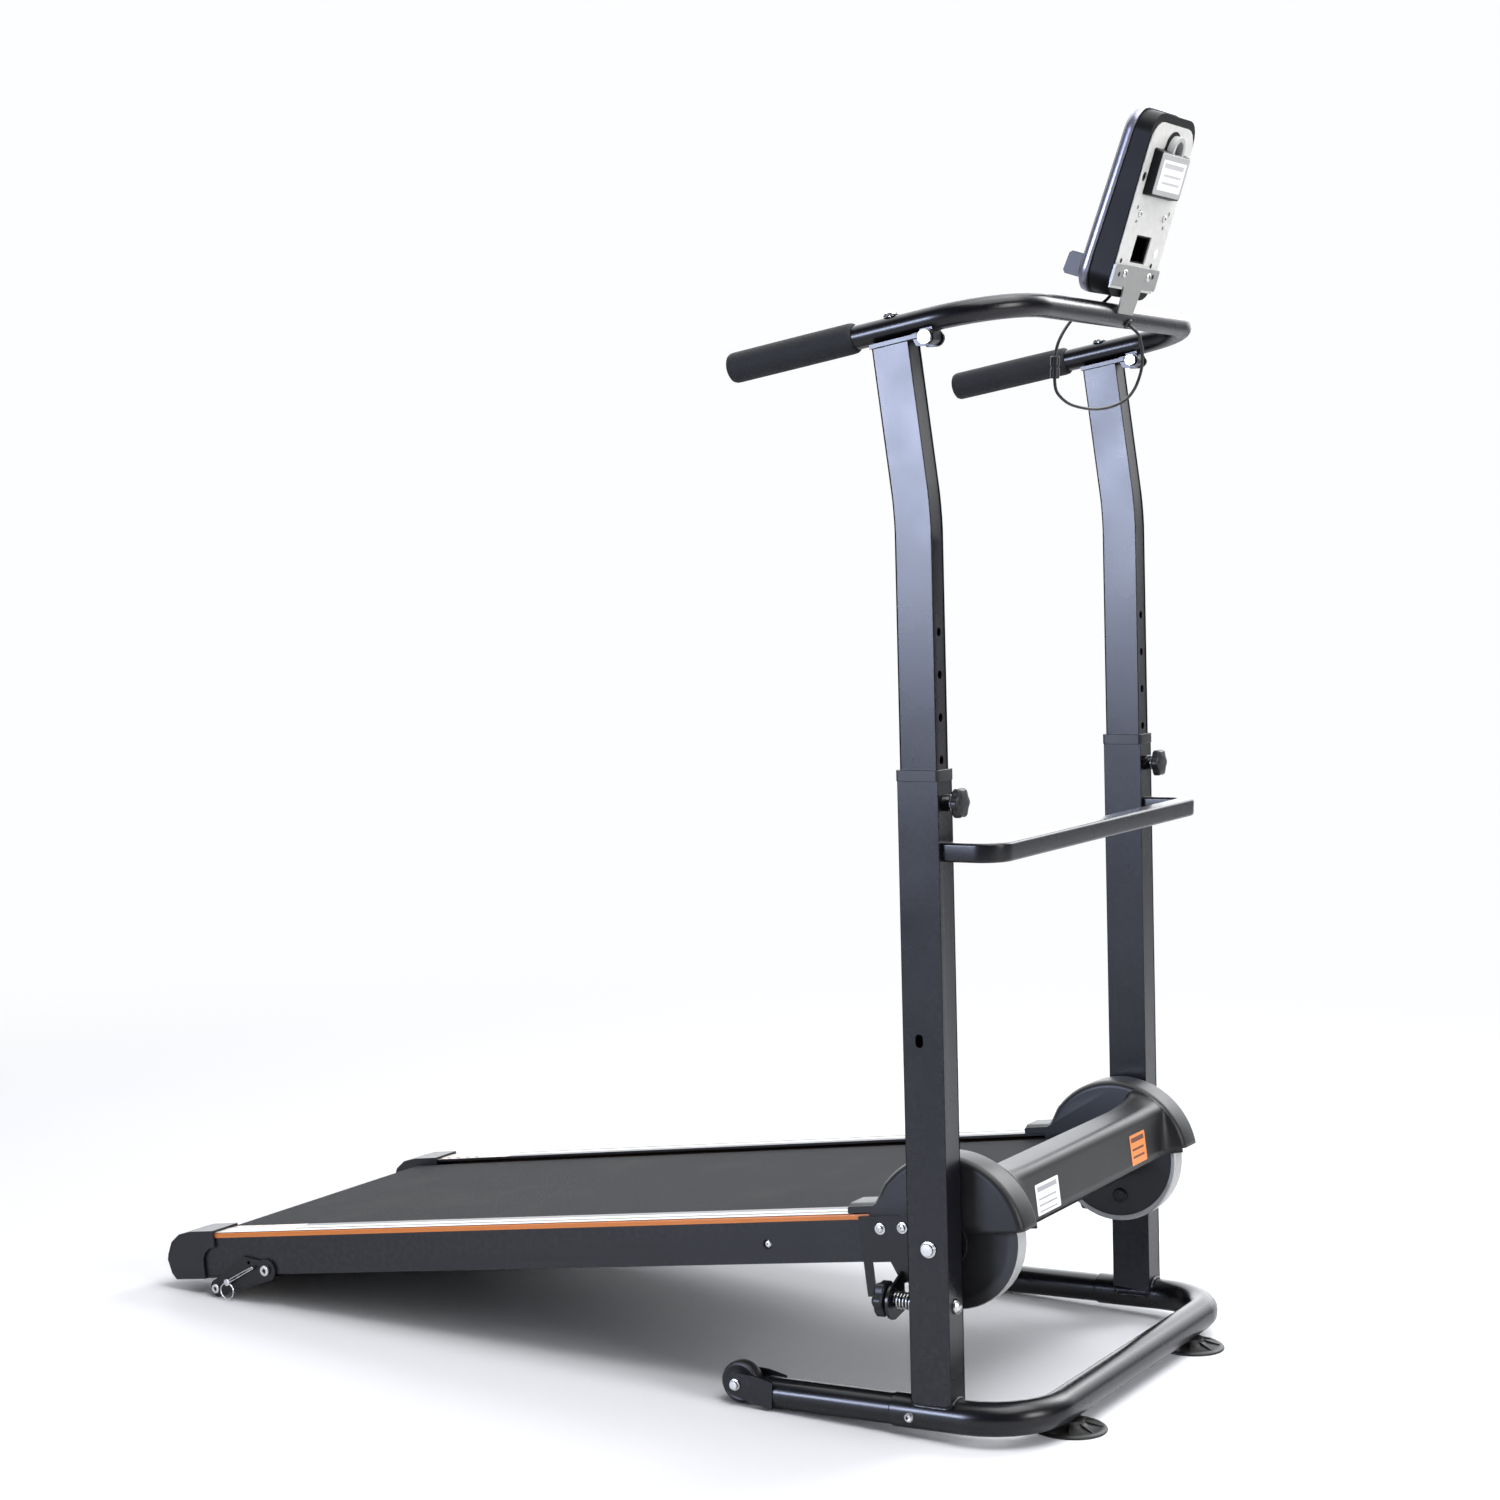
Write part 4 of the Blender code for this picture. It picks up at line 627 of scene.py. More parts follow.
rail_print = rail_finish()
for side, k in SIDES:
    finished_part("side_rail_" + side, rail_print, 0.0007)
    finished_part("front_bracket_" + side, powder_black, 0.0006)
    # pan-head screws with flat washers that hold the bracket, and the one sunk in the rail
    for i, (s, n, out) in enumerate(((-0.0724, 0.0156, 0.2534), (-0.0463, 0.0160, 0.2534), (-0.213, 0.0016, 0.2465))):
        shape = bmesh.new()
        washer = 0.0060 if i < 2 else 0.0046
        turned(shape, ((0.0, 0.0), (washer, 0.0), (washer, 0.0007), (washer - 0.0004, 0.0009), (0.0042, 0.0009),
                       (0.0042, 0.0015), (0.0036, 0.0022), (0.0024, 0.0025), (0.0012, 0.0026), (0.0012, 0.0014),
                       (0.0, 0.0014)), deck(k * out, s, n), (k, 0, 0), 28)
        screw = loose_piece("bracket_screw_%s_%d" % (side, i), shape, bright_zinc, "deck", 40.0)
    # spacer washer on the pivot bolt between the bracket and the upright
    shape = bmesh.new()
    turned(shape, ((0.0056, 0.0), (0.0080, 0.0), (0.0080, 0.0022), (0.0056, 0.0022)), deck(k * 0.2536, 0.0, 0.0),
           (k, 0, 0), 28, True)
    loose_piece("pivot_spacer_" + side, shape, bright_zinc, "deck", 40.0)


# ---------------------------------------------------------------- running belt and board
# A woven polyester belt with a fine diamond emboss on its upper face.
# It runs over two steel drums and a waxed fibre board screwed between the rails.
WEAVE = 0.0021


def belt_finish():
    made, tree, shader = new_finish("woven_belt")
    axes = node(tree, "ShaderNodeGroup", node_tree=deck_axes)
    place = node(tree, "ShaderNodeTexCoord")
    heights = []
    for lean in (1.0, -1.0):
        line = maths(tree, "MULTIPLY_ADD", axes.outputs["Across"], lean, axes.outputs["Along"])
        heights.append(maths(tree, "DIVIDE", maths(tree, "PINGPONG", line, WEAVE), WEAVE))
    weave = maths(tree, "MINIMUM", heights[0], heights[1])
    grit = noise(tree, place, 900.0, 3.0)
    scuff = noise(tree, place, 9.0, 6.0)
    tone = blend(tree, weave, (0.003, 0.003, 0.004, 1.0), (0.046, 0.046, 0.050, 1.0))
    worn = mapped(tree, scuff, of=(0.5, 0.8), to=(0.0, 0.25))
    colour = blend(tree, worn, tone, (0.055, 0.054, 0.053, 1.0))
    total = maths(tree, "MULTIPLY_ADD", grit, 0.3, weave)
    bumped(tree, shader, total, 0.5, 0.0006)
    shader.inputs["Specular IOR Level"].default_value = 0.04
    plug(tree, colour, shader.inputs["Base Color"])
    plug(tree, mapped(tree, grit, to=(0.58, 0.76)), shader.inputs["Roughness"])
    return made


finished_part("running_belt", belt_finish(), 0.0)
fibreboard = coated("fibreboard", (0.30, 0.20, 0.12), 0.55, 400.0, 0.1, 0.0, 0.08)
finished_part("deck_board", fibreboard, 0.0005)
drum_steel = zinc_plate("drum_steel", (0.42, 0.42, 0.42), 0.34)
finished_part("front_roller", drum_steel, 0.0008)
finished_part("rear_roller", drum_steel, 0.0008)


# ---------------------------------------------------------------- flywheels
# Cast iron discs, painted black on their faces and machined bright on the rim.
# They are pressed onto the front drum's shaft, one at each side of the belt.
def flywheel_finish():
    made, tree, shader = new_finish("machined_flywheel")
    axes = node(tree, "ShaderNodeGroup", node_tree=deck_axes)
    squares = [maths(tree, "POWER", maths(tree, "ABSOLUTE", axes.outputs[name]), 2.0) for name in ("Along", "Above")]
    reach = maths(tree, "SQRT", maths(tree, "ADD", *squares))
    rim = both(tree, within(tree, reach, 0.0696, 0.0900),
               within(tree, axes.outputs["Across"], 0.2000, 0.2322))
    groove = maths(tree, "PINGPONG", reach, 0.00035)
    place = node(tree, "ShaderNodeTexCoord")
    cast = noise(tree, place, 420.0, 4.0)
    tone = blend(tree, cast, (0.36, 0.36, 0.36, 1.0), (0.52, 0.52, 0.51, 1.0))
    skin = blend(tree, rim, (0.014, 0.014, 0.016, 1.0), tone)
    plug(tree, skin, shader.inputs["Base Color"])
    plug(tree, mapped(tree, cast, to=(0.34, 0.52)), shader.inputs["Roughness"])
    plug(tree, rim, shader.inputs["Metallic"])
    lathe = maths(tree, "MULTIPLY", groove, rim)
    height = maths(tree, "MULTIPLY_ADD", cast, 0.0003, lathe)
    bumped(tree, shader, height, 0.35, 0.4)
    return made


flywheel_iron = flywheel_finish()
for side, k in SIDES:
    finished_part("flywheel_" + side, flywheel_iron, 0.0)
    # threaded plug in the inner face that trims the balance
    shape = bmesh.new()
    turned(shape, ((0.0, 0.0), (0.0088, 0.0), (0.0088, 0.0013), (0.0080, 0.0018), (0.0046, 0.0018), (0.0042, 0.0010),
                   (0.0, 0.0010)), deck(k * 0.2118, 0.0, -0.046), (-k, 0, 0), 32)
    loose_piece("balance_plug_" + side, shape, powder_black, "front_drum", 40.0)


# ---------------------------------------------------------------- flywheel hood
# One ABS moulding with a fine grain, screwed to the rails.
# A rounded fender covers each flywheel, and the beam between them blends in with scoops.
hood_abs = coated("hood_abs", (0.007, 0.007, 0.008), 0.42, 1300.0, 0.01, 0.03, 0.03, 0.0, 0.0)
FENDER_IN, FENDER_OUT, FENDER_R, FENDER_LOW = 0.207, 0.250, 0.090, 0.007
HOOD_WALL = 0.0024


def moulded_wall(piece):
    """Gives a moulded surface its wall, inwards."""
    wall = piece.modifiers.new("moulded_wall", "SOLIDIFY")
    wall.thickness = HOOD_WALL
    wall.offset = -1.0


def fender_outline(inset, steps=56):
    """Side view of a fender: the round front and top, the step down to the rail, the open foot."""
    r = FENDER_R - inset
    start = asin(FENDER_LOW / r)
    stop = pi - asin(0.0650 / r)
    pts = [(r * cos(start + (stop - start) * i / steps), r * sin(start + (stop - start) * i / steps))
           for i in range(steps + 1)]
    last = pts[-1]
    drop = 0.0425 - min(inset, 0.003)
    for i in range(1, 7):
        t = i / 6.0
        ease = t * t * (3.0 - 2.0 * t)
        pts.append((last[0] + (-0.0800 - last[0]) * t, last[1] + (drop - last[1]) * (ease * 0.6 + t * 0.4)))
    pts += [(-0.1085, drop), (-0.1100, drop - 0.002), (-0.1100, 0.0324), (-0.0843, 0.0324), (-0.0843, FENDER_LOW)]
    return pts


for side, k in SIDES:
    shape = bmesh.new()
    edge = [(FENDER_IN + 0.0080 - 0.0080 * cos(t), 0.0080 - 0.0080 * sin(t))
            for t in (pi / 2 * i / 6 for i in range(7))]
    walls = edge + [(FENDER_IN + FENDER_OUT - x, inset) for x, inset in reversed(edge)]
    rings = [[shape.verts.new(deck(k * x, s, n)) for s, n in fender_outline(inset)] for x, inset in walls]
    count = len(rings[0])
    for low, high in zip(rings, rings[1:]):
        for i in range(count - 1):
            shape.faces.new((low[i], low[i + 1], high[i + 1], high[i]))
    shape.faces.new(rings[0][::-1])
    shape.faces.new(rings[-1])
    piece = loose_piece("hood_fender_" + side, shape, hood_abs, "deck", 42.0)
    moulded_wall(piece)
    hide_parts("hood")

# the beam's section, from its lower front edge over the top to the belt side
shape = bmesh.new()
section = [(0.0660, 0.0020)] + [(0.0660, 0.0020 + 0.0440 * i / 6) for i in range(1, 7)]
section += [(0.0540 + 0.0120 * cos(t), 0.0490 + 0.0120 * sin(t))
            for t in (radians(5 + 80 * i / 10) for i in range(11))]
section += [(0.0460, 0.0617), (0.0370, 0.0622), (0.0290, 0.0622)]
section += [(0.0250 + 0.0090 * cos(t), 0.0532 + 0.0090 * sin(t))
            for t in (radians(90 + 90 * i / 7) for i in range(8))]
section += [(0.0160, 0.0430), (0.0160, 0.0320)]
rows = []
stations = [-FENDER_IN - 0.002]
for i in range(13):
    stations.append(-FENDER_IN + 0.062 * (i / 12.0) ** 1.5)
stations += [-0.12, -0.06, 0.0]
stations += [-x for x in stations[:-1]][::-1]
# towards each end the section swells until it meets the fender's round
for x in stations:
    ring = []
    for s, n in section:
        wide = 0.018 + 0.044 * max(0.0, min(1.0, (n - 0.040) / 0.020)) ** 1.5
        t = max(0.0, min(1.0, (abs(x) - (FENDER_IN - wide)) / wide))
        f = 1.0 - sqrt(max(0.0, 1.0 - t * t))
        r = hypot(s, n)
        goal = 0.0885 / r if s > 0.0165 else 1.0
        share = f * 0.92 * min(1.0, max(0.0, (s - 0.0160) / 0.012))
        ring.append(deck(x, s * (1 + (goal - 1) * share), n * (1 + (goal - 1) * share)))
    rows.append([shape.verts.new(p) for p in ring])
for low, high in zip(rows, rows[1:]):
    for i in range(len(section) - 1):
        shape.faces.new((low[i], low[i + 1], high[i + 1], high[i]))
beam = loose_piece("hood_beam", shape, hood_abs, "deck", 50.0)
moulded_wall(beam)
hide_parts("hood")


# ---------------------------------------------------------------- blank labels
# Two printed vinyl stickers on the front of the hood's beam.
# They carry plain ruled bars in place of any lettering.
def label_finish(name, ground, bars, origin, across, upward, size, rows_of_bars):
    """A sticker: ground colour, a darker header block and thin ruled bars."""
    made, tree, shader = new_finish(name)
    place = node(tree, "ShaderNodeTexCoord")
    moved = node(tree, "ShaderNodeVectorMath", operation="SUBTRACT")
    moved.inputs[1].default_value = origin
    plug(tree, place.outputs["Object"], moved.inputs[0])
    spans = []
    for way, length in ((across, size[0]), (upward, size[1])):
        spans.append(reach_along(tree, moved.outputs[0], Vector(way) / length))
    fleck = noise(tree, place, 300.0)
    tone = blend(tree, fleck, (*[c * 0.9 for c in ground], 1.0), (*ground, 1.0))
    plug(tree, tone, shader.inputs["Base Color"])
    head = both(tree, within(tree, spans[0], -0.42, 0.42), within(tree, spans[1], 0.24, 0.40))
    printed_over(tree, shader, head, bars)
    line = maths(tree, "PINGPONG", spans[1], 0.5 / rows_of_bars)
    ruled = both(tree, within(tree, line, 0.0, 0.16 / rows_of_bars),
                 both(tree, within(tree, spans[0], -0.40, 0.36), within(tree, spans[1], -0.42, 0.16)))
    printed_over(tree, shader, ruled, bars)
    rough = mapped(tree, fleck, to=(0.32, 0.46))
    plug(tree, rough, shader.inputs["Roughness"])
    return made


def sticker(name, centre, across, upward, size, finish, body, thick=0.00025, corner=0.0015):
    """A thin vinyl rectangle with rounded corners lying on a face."""
    across, upward = Vector(across).normalized(), Vector(upward).normalized()
    out = across.cross(upward)
    pts = []
    for n, (su, sv) in enumerate(((1, 1), (-1, 1), (-1, -1), (1, -1))):
        for i in range(5):
            t = pi / 2 * (n + i / 4.0)
            pts.append((su * (size[0] / 2 - corner) + corner * cos(t),
                        sv * (size[1] / 2 - corner) + corner * sin(t)))
    shape = bmesh.new()
    skinned(shape, [[centre + across * u + upward * v + out * w for u, v in pts] for w in (0.0, thick)])
    return loose_piece(name, shape, finish, body, 40.0)


deck_up = Vector((0.0, -sin(DECK_TILT), cos(DECK_TILT)))
spot = deck(0.128, 0.0661, 0.0213)
white_label = label_finish("white_label", (0.80, 0.80, 0.79), (0.32, 0.32, 0.34), spot, (-1, 0, 0), deck_up,
                           (0.060, 0.033), 5)
sticker("hood_label_white", spot, (-1, 0, 0), deck_up, (0.060, 0.033), white_label, "deck")
spot = deck(-0.128, 0.0661, 0.0238)
orange_label = label_finish("orange_label", (0.78, 0.22, 0.04), (0.10, 0.03, 0.01), spot, (-1, 0, 0), deck_up,
                            (0.044, 0.034), 4)
sticker("hood_label_orange", spot, (-1, 0, 0), deck_up, (0.044, 0.034), orange_label, "deck")


# ---------------------------------------------------------------- rear support foot
# Steel arms with a tube across, powder coated like the frame and bolted to the rails.
# A ring pin with a wire clip holds each side at its incline.
finished_part("rear_foot_frame", powder_black, 0.0005)
for side, k in SIDES:
    finished_part("foot_pin_" + side, bright_zinc, 0.0)
    for i, (s, n, r) in enumerate(((-0.901, -0.0141, 0.0062), (-0.979, -0.0342, 0.0056))):
        shape = bmesh.new()
        turned(shape, ((0.0, 0.0), (r, 0.0), (r, 0.0032), (r * 0.9, 0.0040), (r * 0.5, 0.0042), (r * 0.4, 0.0034),
                       (0.0, 0.0034)), deck(k * 0.2537, s, n), (k, 0, 0), 30)
        loose_piece("foot_bolt_%s_%d" % (side, i), shape, bright_zinc, "rear_foot", 30.0)
    hairpin = [deck(k * 0.2588, s, n) for s, n in (
        (-0.9580, -0.0250), (-0.9500, -0.0212), (-0.9300, -0.0133), (-0.9172, -0.0090), (-0.9158, -0.0098),
        (-0.9170, -0.0110), (-0.9310, -0.0165), (-0.9500, -0.0245), (-0.9580, -0.0275), (-0.9595, -0.0262))]
    wire_piece("foot_clip_" + side, hairpin, 0.0008, Vector((1.0, 0.0, 0.0)), "rear_foot", True)


# ---------------------------------------------------------------- handlebar and grips
# One bent round tube with welded hinge lugs, powder coated.
# Closed-cell foam grips are slid over its ends.
finished_part("handlebar_tube", powder_black, 0.0)


def foam_finish():
    made = coated("grip_foam", (0.009, 0.009, 0.012), 0.75, 700.0, 0.03, 0.0, 0.2)
    tree = made.node_tree
    shader = tree.nodes["Principled BSDF"]
    place = node(tree, "ShaderNodeTexCoord")
    cells = node(tree, "ShaderNodeTexVoronoi")
    cells.inputs["Scale"].default_value = 620.0
    plug(tree, place.outputs["Object"], cells.inputs["Vector"])
    bumped(tree, shader, cells.outputs["Distance"], 0.55, 0.0006)
    return made


grip_foam = foam_finish()
hand_dir = Vector((0.0, 1.0, BAR_SLOPE)).normalized()
for side, k in SIDES:
    rear = Vector((k * POST_X, Y_SHIFT - 0.280, bar_height(-0.280)))
    span = 0.146 / hand_dir.y
    shape = bmesh.new()
    turned(shape, ((0.0, -0.0002), (0.0095, 0.0), (0.0125, 0.0006), (0.0147, 0.0020), (0.0158, 0.0045),
                   (0.0160, 0.0080), (0.0161, span * 0.5), (0.0160, span - 0.0060), (0.0156, span - 0.0022),
                   (0.0146, span - 0.0004), (0.0130, span), (0.0130, 0.0050), (0.0, 0.0050)), rear, hand_dir, 48)
    grip = loose_piece("foam_grip_" + side, shape, grip_foam, "handlebar", 50.0)
    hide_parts("grip_" + side)


# ---------------------------------------------------------------- console
# A two-part ABS case with grained sides; a pale band along its rounded front edge, on the user's side, is a painted
# highlight.
# It is screwed to a plate, which a steel bracket carries on the handlebar; both are black, and their light grey is a
# painted reflection of the bright floor and softboxes.
# painted reflection: the light grey plate colour stands in for the bright floor mirrored in the glossy black plate
plate_painted_reflection = zinc_plate("plate_painted_reflection", (0.72, 0.72, 0.69), 0.42)
plate_painted_reflection.node_tree.nodes["Principled BSDF"].inputs["Metallic"].default_value = 0.25
# painted reflection: the grey bracket colour stands in for bright light mirrored in the black-painted bracket
bracket_painted_reflection = zinc_plate("bracket_painted_reflection", (0.34, 0.34, 0.33), 0.40)
bracket_painted_reflection.node_tree.nodes["Principled BSDF"].inputs["Metallic"].default_value = 0.35
finished_part("console_bracket", bracket_painted_reflection, 0.0004)
finished_part("console_plate", plate_painted_reflection, 0.0003)
case_black = coated("case_black", (0.006, 0.006, 0.007), 0.46, 1400.0, 0.005, 0.02, 0.03)
case_black.node_tree.nodes["Principled BSDF"].inputs["Specular IOR Level"].default_value = 0.12
finished_part("console_back_shell", case_black, 0.0020, 38.0, 4)
finished_part("console_front_shell", black_moulding, 0.0010, 38.0, 3)
console_back = Vector((0.0, -cos(CONSOLE_TILT), sin(CONSOLE_TILT)))
console_up = Vector((0.0, sin(CONSOLE_TILT), cos(CONSOLE_TILT)))


def case_outline(half_w, low, high, r, steps=10):
    pts = []
    mid = (low + high) / 2
    half_h = (high - low) / 2
    for n, (su, sv) in enumerate(((1, 1), (-1, 1), (-1, -1), (1, -1))):
        for i in range(steps + 1):
            t = pi / 2 * (n + i / steps)
            pts.append((su * (half_w - r) + r * cos(t), mid + sv * (half_h - r) + r * sin(t)))
    return pts


def case_face(x, p, m):
    """On the console's front, which gets shallower towards the top."""
    return console(x, p, m - CONSOLE_TAPER * p)


# painted highlight: a pale lavender band along the front edge of the case, in place of light on the front shell's
# rounded edge
front_edge_painted_highlight = coated("front_edge_painted_highlight", (0.26, 0.26, 0.33), 0.30, 1500.0, 0.0, 0.0, 0.02, 0.6)
shape = bmesh.new()
rings = []
for grow, m in ((0.0020, 0.0282), (0.0026, 0.0290), (0.0027, 0.0325), (0.0020, 0.0364), (0.0008, 0.0376),
                (0.0004, 0.0374), (0.0004, 0.0286)):
    rings.append([case_face(u, p, m) for u, p in case_outline(0.061 + grow, -grow, 0.196 + grow, 0.0245 + grow)])
skinned(shape, rings, True)
loose_piece("front_edge_highlight_band", shape, front_edge_painted_highlight, "handlebar", 40.0)
# dark rim of the battery bay, round the door and behind its latch
shape = bmesh.new()
rings = []
for grow, m in ((0.0002, -0.0094), (0.0012, -0.0088), (0.0030, -0.0006), (0.0030, -0.0002), (0.0002, -0.0002)):
    rings.append([console(u + 0.0015, p, m) for u, p in case_outline(0.0385 + grow, 0.1130 - grow, 0.1570 + grow,
                                                                     0.0030)])
skinned(shape, rings, True)
loose_piece("battery_bay_rim", shape, case_black, "handlebar", 40.0)
shape = bmesh.new()
arch = [(-0.0020 + 0.0195 * cos(i / 12 * pi), 0.1640 + 0.0170 * sin(i / 12 * pi))
        for i in range(13)]
arch = [(0.0200, 0.1575)] + arch + [(-0.0240, 0.1575)]
skinned(shape, [[console(u, p, m) for u, p in arch] for m in (-0.0006, -0.0002)])
loose_piece("latch_bay", shape, case_black, "handlebar", 40.0)


# display glass with unlit segments behind it, and the one button
def display_finish():
    made, tree, shader = new_finish("display_glass")
    place = node(tree, "ShaderNodeTexCoord")
    moved = node(tree, "ShaderNodeVectorMath", operation="SUBTRACT")
    moved.inputs[1].default_value = case_face(0.0, 0.133, 0.0408)
    plug(tree, place.outputs["Object"], moved.inputs[0])
    spans = []
    for way in ((1.0, 0.0, 0.0), console_up):
        spans.append(reach_along(tree, moved.outputs[0], way))
    haze = noise(tree, place, 60.0)
    ground = blend(tree, haze, (0.010, 0.011, 0.012, 1.0), (0.016, 0.017, 0.018, 1.0))
    plug(tree, ground, shader.inputs["Base Color"])
    screen = both(tree, within(tree, spans[0], -0.034, 0.034), within(tree, spans[1], -0.022, 0.024))
    printed_over(tree, shader, screen, (0.23, 0.27, 0.20))
    for u, p, w, h in ((-0.018, 0.006, 0.0012, 0.016), (-0.008, 0.006, 0.0012, 0.016), (0.004, 0.006, 0.0012, 0.016),
                       (0.014, 0.006, 0.0012, 0.016), (0.0, -0.016, 0.040, 0.0012)):
        bar = both(tree, within(tree, spans[0], u - w / 2, u + w / 2), within(tree, spans[1], p - h / 2, p + h / 2))
        printed_over(tree, shader, bar, (0.05, 0.06, 0.05))
    shader.inputs["Roughness"].default_value = 0.08
    shader.inputs["Coat Weight"].default_value = 1.0
    return made


finished_part("display_window", display_finish(), 0.0004)
button_red = coated("button_red", (0.42, 0.03, 0.02), 0.36, 900.0, 0.02, 0.0, 0.05)
finished_part("mode_button", button_red, 0.0004)
# painted reflection: the grey battery door colour stands in for bright light mirrored in the black plastic door
door_painted_reflection = coated("door_painted_reflection", (0.36, 0.36, 0.36), 0.40, 800.0, 0.05, 0.0, 0.10)
finished_part("battery_door", door_painted_reflection, 0.0006, 38.0, 3)
spot = console(0.0015, 0.1345, -0.0101)
door_label = label_finish("door_label", (0.82, 0.82, 0.81), (0.45, 0.45, 0.46), spot, (1, 0, 0), console_up,
                          (0.064, 0.032), 4)
sticker("door_sticker", spot, (-1, 0, 0), console_up, (0.064, 0.032), door_label, "door_body")
# self-tapping screws that hold the plate and the bracket to the case
for i, (u, p, m, r) in enumerate(((0.0343, 0.0900, -0.0001, 0.0040), (-0.0343, 0.0900, -0.0001, 0.0040),
                                  (0.0340, 0.0260, -0.0024, 0.0048), (-0.0320, 0.0260, -0.0024, 0.0048))):
    shape = bmesh.new()
    turned(shape, ((0.0, 0.0), (r, 0.0), (r, 0.0006), (r * 0.85, 0.0016), (r * 0.45, 0.0023), (r * 0.30, 0.0024),
                   (r * 0.28, 0.0010), (0.0, 0.0010)), console(u, p, m), -console_back, 24)
    loose_piece("plate_screw_%d" % i, shape, bright_zinc, "handlebar", 40.0)
shape = bmesh.new()
turned(shape, ((0.0, 0.0), (0.0050, 0.0), (0.0050, 0.0003), (0.0, 0.0003)), console(-0.039, 0.0520, -0.0002),
       -console_back, 32)
paper_white = coated("paper_white", (0.78, 0.78, 0.76), 0.6, 500.0, 0.0, 0.0, 0.04)
loose_piece("inspection_dot", shape, paper_white, "handlebar", 40.0)
shape = bmesh.new()
for u, p, m in ((0.0480, 0.0245, -0.0023), (-0.0445, 0.0275, -0.0023), (0.0480, 0.0385, -0.0001),
                (-0.0360, 0.0385, -0.0001)):
    turned(shape, ((0.0, 0.0), (0.0026, 0.0), (0.0026, 0.0003), (0.0, 0.0003)), console(u, p, m), -console_back, 20)
loose_piece("bracket_hole_shadows", shape, case_black, "handlebar", 40.0)


# ---------------------------------------------------------------- sensor lead
# A thin PVC lead from the foot of the console, looping under the handlebar into a grommet,
# with an in-line plug that lets the console come off.
lead_black = coated("lead_black", (0.012, 0.012, 0.012), 0.38, 800.0, 0.03, 0.0, 0.05)
HAND_R = 0.0127
bar_mid = Vector((-0.019, 0.0336, bar_height(0.0336)))
grommet_out = Vector((0.0, cos(radians(-40)), sin(radians(-40))))
shift = Vector((0.0, Y_SHIFT, 0.0))
route = [console(-0.006, 0.0120, 0.0215), console(-0.006, 0.0020, 0.0217)]
for p in ((-0.003, 0.0235, 1.1820), (0.006, 0.0180, 1.1765), (0.022, 0.0140, 1.1700), (0.042, 0.0110, 1.1640),
          (0.058, 0.0100, 1.1570), (0.071, 0.0080, 1.1460), (0.080, 0.0060, 1.1340), (0.0840, 0.0050, 1.1220),
          (0.0850, 0.0050, 1.1080), (0.0850, 0.0050, 1.0940), (0.0820, 0.0060, 1.0830), (0.072, 0.0090, 1.0750),
          (0.055, 0.0120, 1.0695), (0.030, 0.0170, 1.0665), (0.005, 0.0220, 1.0665), (-0.020, 0.0280, 1.0700),
          (-0.041, 0.0340, 1.0775), (-0.0530, 0.0390, 1.0890), (-0.0570, 0.0430, 1.1020), (-0.0545, 0.0470, 1.1150),
          (-0.0470, 0.0500, 1.1280), (-0.0370, 0.0520, 1.1385), (-0.0275, 0.0525, 1.1475)):
    route.append(Vector(p) + shift)
route.append(bar_mid + grommet_out * (HAND_R + 0.0060) + shift)
route.append(bar_mid + grommet_out * (HAND_R + 0.001) + shift)
route.append(bar_mid + grommet_out * 0.006 + shift)
line = []
ends = [route[0] * 2 - route[1]] + route + [route[-1] * 2 - route[-2]]
for i in range(1, len(ends) - 2):
    a, b, c, d = ends[i - 1:i + 3]
    for j in range(4):
        t = j / 4.0
        line.append(((b * 2) + (c - a) * t + (a * 2 - b * 5 + c * 4 - d) * t * t
                     + (b * 3 - a - c * 3 + d) * t * t * t) * 0.5)
line.append(route[-1])
curve = bpy.data.curves.new("sensor_lead_run", "CURVE")
curve.dimensions = "3D"
curve.bevel_depth = 0.0017
curve.bevel_resolution = 4
curve.use_fill_caps = True
run = curve.splines.new("POLY")
run.points.add(len(line) - 1)
for point, at in zip(run.points, line):
    point.co = (*at, 1.0)
run.use_smooth = True
curve.materials.append(lead_black)
lead = bpy.data.objects.new("sensor_lead_run", curve)
bpy.context.scene.collection.objects.link(lead)
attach(lead, "handlebar")
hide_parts("sensor_lead")
plug_piece = finished_part("lead_plug", black_moulding, 0.0004)
grommet = finished_part("lead_grommet", foot_rubber, 0.0)


# ---------------------------------------------------------------- stage and lights
# A seamless pale floor that fades into a bright room.
# Large soft lights stand in front, at the side and above; the side one only adds sheen.
floor_paint, tree, shader = new_finish("studio_floor")
place = node(tree, "ShaderNodeTexCoord")
haze = noise(tree, place, 0.6)
tone = blend(tree, haze, (0.86, 0.87, 0.92, 1.0), (0.90, 0.90, 0.92, 1.0))
plug(tree, tone, shader.inputs["Base Color"])
shader.inputs["Roughness"].default_value = 0.6
shader.inputs["Specular IOR Level"].default_value = 0.2
reach = node(tree, "ShaderNodeVectorMath", operation="LENGTH")
plug(tree, place.outputs["Object"], reach.inputs[0])
fade = mapped(tree, reach.outputs["Value"], of=(0.9, 2.6), kind="SMOOTHSTEP")
glow = node(tree, "ShaderNodeEmission")
glow.inputs["Color"].default_value = (0.985, 0.99, 1.0, 1.0)
glow.inputs["Strength"].default_value = 1.0
sweep = node(tree, "ShaderNodeMixShader")
direct = node(tree, "ShaderNodeLightPath")
seen_fade = both(tree, fade, direct.outputs["Is Camera Ray"])
plug(tree, seen_fade, sweep.inputs[0])
plug(tree, shader.outputs[0], sweep.inputs[1])
plug(tree, glow.outputs[0], sweep.inputs[2])
plug(tree, sweep.outputs[0], tree.nodes["Material Output"].inputs["Surface"])
shape = bmesh.new()
corners = [shape.verts.new(p) for p in ((-30, -30, 0), (30, -30, 0), (30, 30, 0), (-30, 30, 0))]
shape.faces.new(corners)
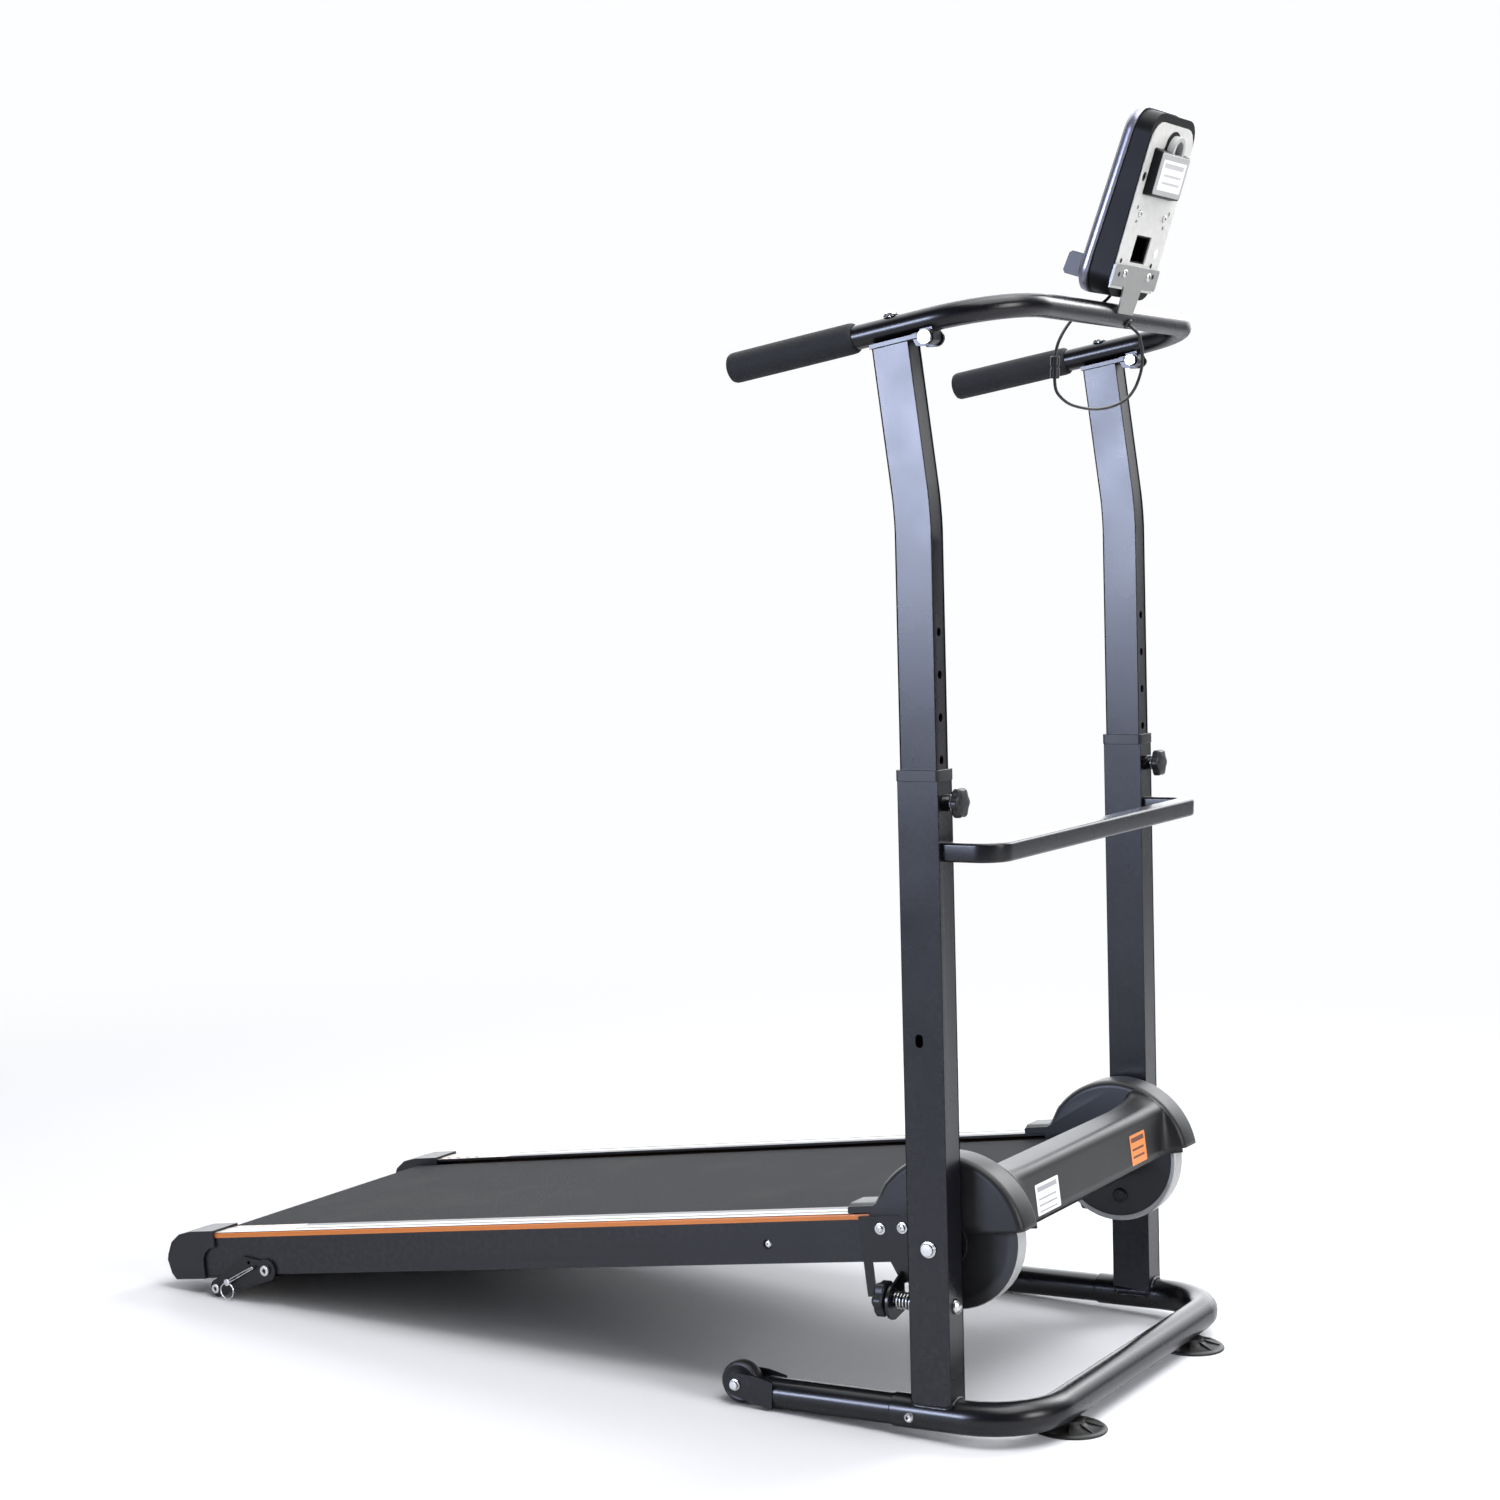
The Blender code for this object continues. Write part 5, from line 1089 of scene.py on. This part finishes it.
mesh = bpy.data.meshes.new("studio_floor")
shape.to_mesh(mesh)
shape.free()
mesh.materials.append(floor_paint)
floor = bpy.data.objects.new("studio_floor", mesh)
bpy.context.scene.collection.objects.link(floor)

world = bpy.data.worlds.new("bright_room")
bpy.context.scene.world = world
world.use_nodes = True
tree = world.node_tree
room = tree.nodes["Background"]
room.inputs["Color"].default_value = (0.93, 0.96, 1.0, 1.0)
room.inputs["Strength"].default_value = 0.33
wall = node(tree, "ShaderNodeBackground")
wall.inputs["Color"].default_value = (0.985, 0.99, 1.0, 1.0)
wall.inputs["Strength"].default_value = 1.0
flags = node(tree, "ShaderNodeBackground")
facing = node(tree, "ShaderNodeTexCoord")
toward = reach_along(tree, facing.outputs["Generated"], (-0.66, -0.32, 0.68))
bright = mapped(tree, toward, of=(0.38, 0.87), to=(0.02, 3.6), kind="SMOOTHSTEP")
plug(tree, bright, flags.inputs["Strength"])
flags.inputs["Color"].default_value = (0.95, 0.97, 1.0, 1.0)
seen = node(tree, "ShaderNodeLightPath")
choose = node(tree, "ShaderNodeMixShader")
mirrored = node(tree, "ShaderNodeMixShader")
plug(tree, seen.outputs["Is Camera Ray"], choose.inputs[0])
plug(tree, room.outputs[0], choose.inputs[1])
plug(tree, wall.outputs[0], choose.inputs[2])
plug(tree, seen.outputs["Is Glossy Ray"], mirrored.inputs[0])
plug(tree, choose.outputs[0], mirrored.inputs[1])
plug(tree, flags.outputs[0], mirrored.inputs[2])
plug(tree, mirrored.outputs[0], tree.nodes["World Output"].inputs["Surface"])


def softbox(name, at, aim, size, power, colour=(1.0, 1.0, 1.0), sheen_only=False):
    lamp = bpy.data.lights.new(name, "AREA")
    lamp.shape = "RECTANGLE"
    lamp.size, lamp.size_y = size
    lamp.energy = power
    lamp.color = colour
    made = bpy.data.objects.new(name, lamp)
    made.visible_diffuse = not sheen_only
    made.location = at
    away = (Vector(at) - Vector(aim)).normalized()
    made.rotation_mode = "QUATERNION"
    made.rotation_quaternion = away.to_track_quat("Z", "Y")
    bpy.context.scene.collection.objects.link(made)


softbox("front_softbox", (-3.2, 1.6, 3.0), (0.0, 0.3, 0.8), (1.8, 1.8), 90.0)
softbox("front_fill", (0.9, 4.4, 1.7), (0.0, 0.4, 0.6), (1.5, 1.5), 90.0)
softbox("side_softbox", (3.8, -1.30, 1.22), (0.0, 0.45, 1.1), (1.4, 0.75), 190.0, (0.66, 0.74, 1.0), True)
softbox("top_softbox", (0.4, 1.3, 3.4), (0.0, 0.2, 0.0), (2.4, 2.4), 95.0)
bpy.context.scene.view_settings.view_transform = "Standard"
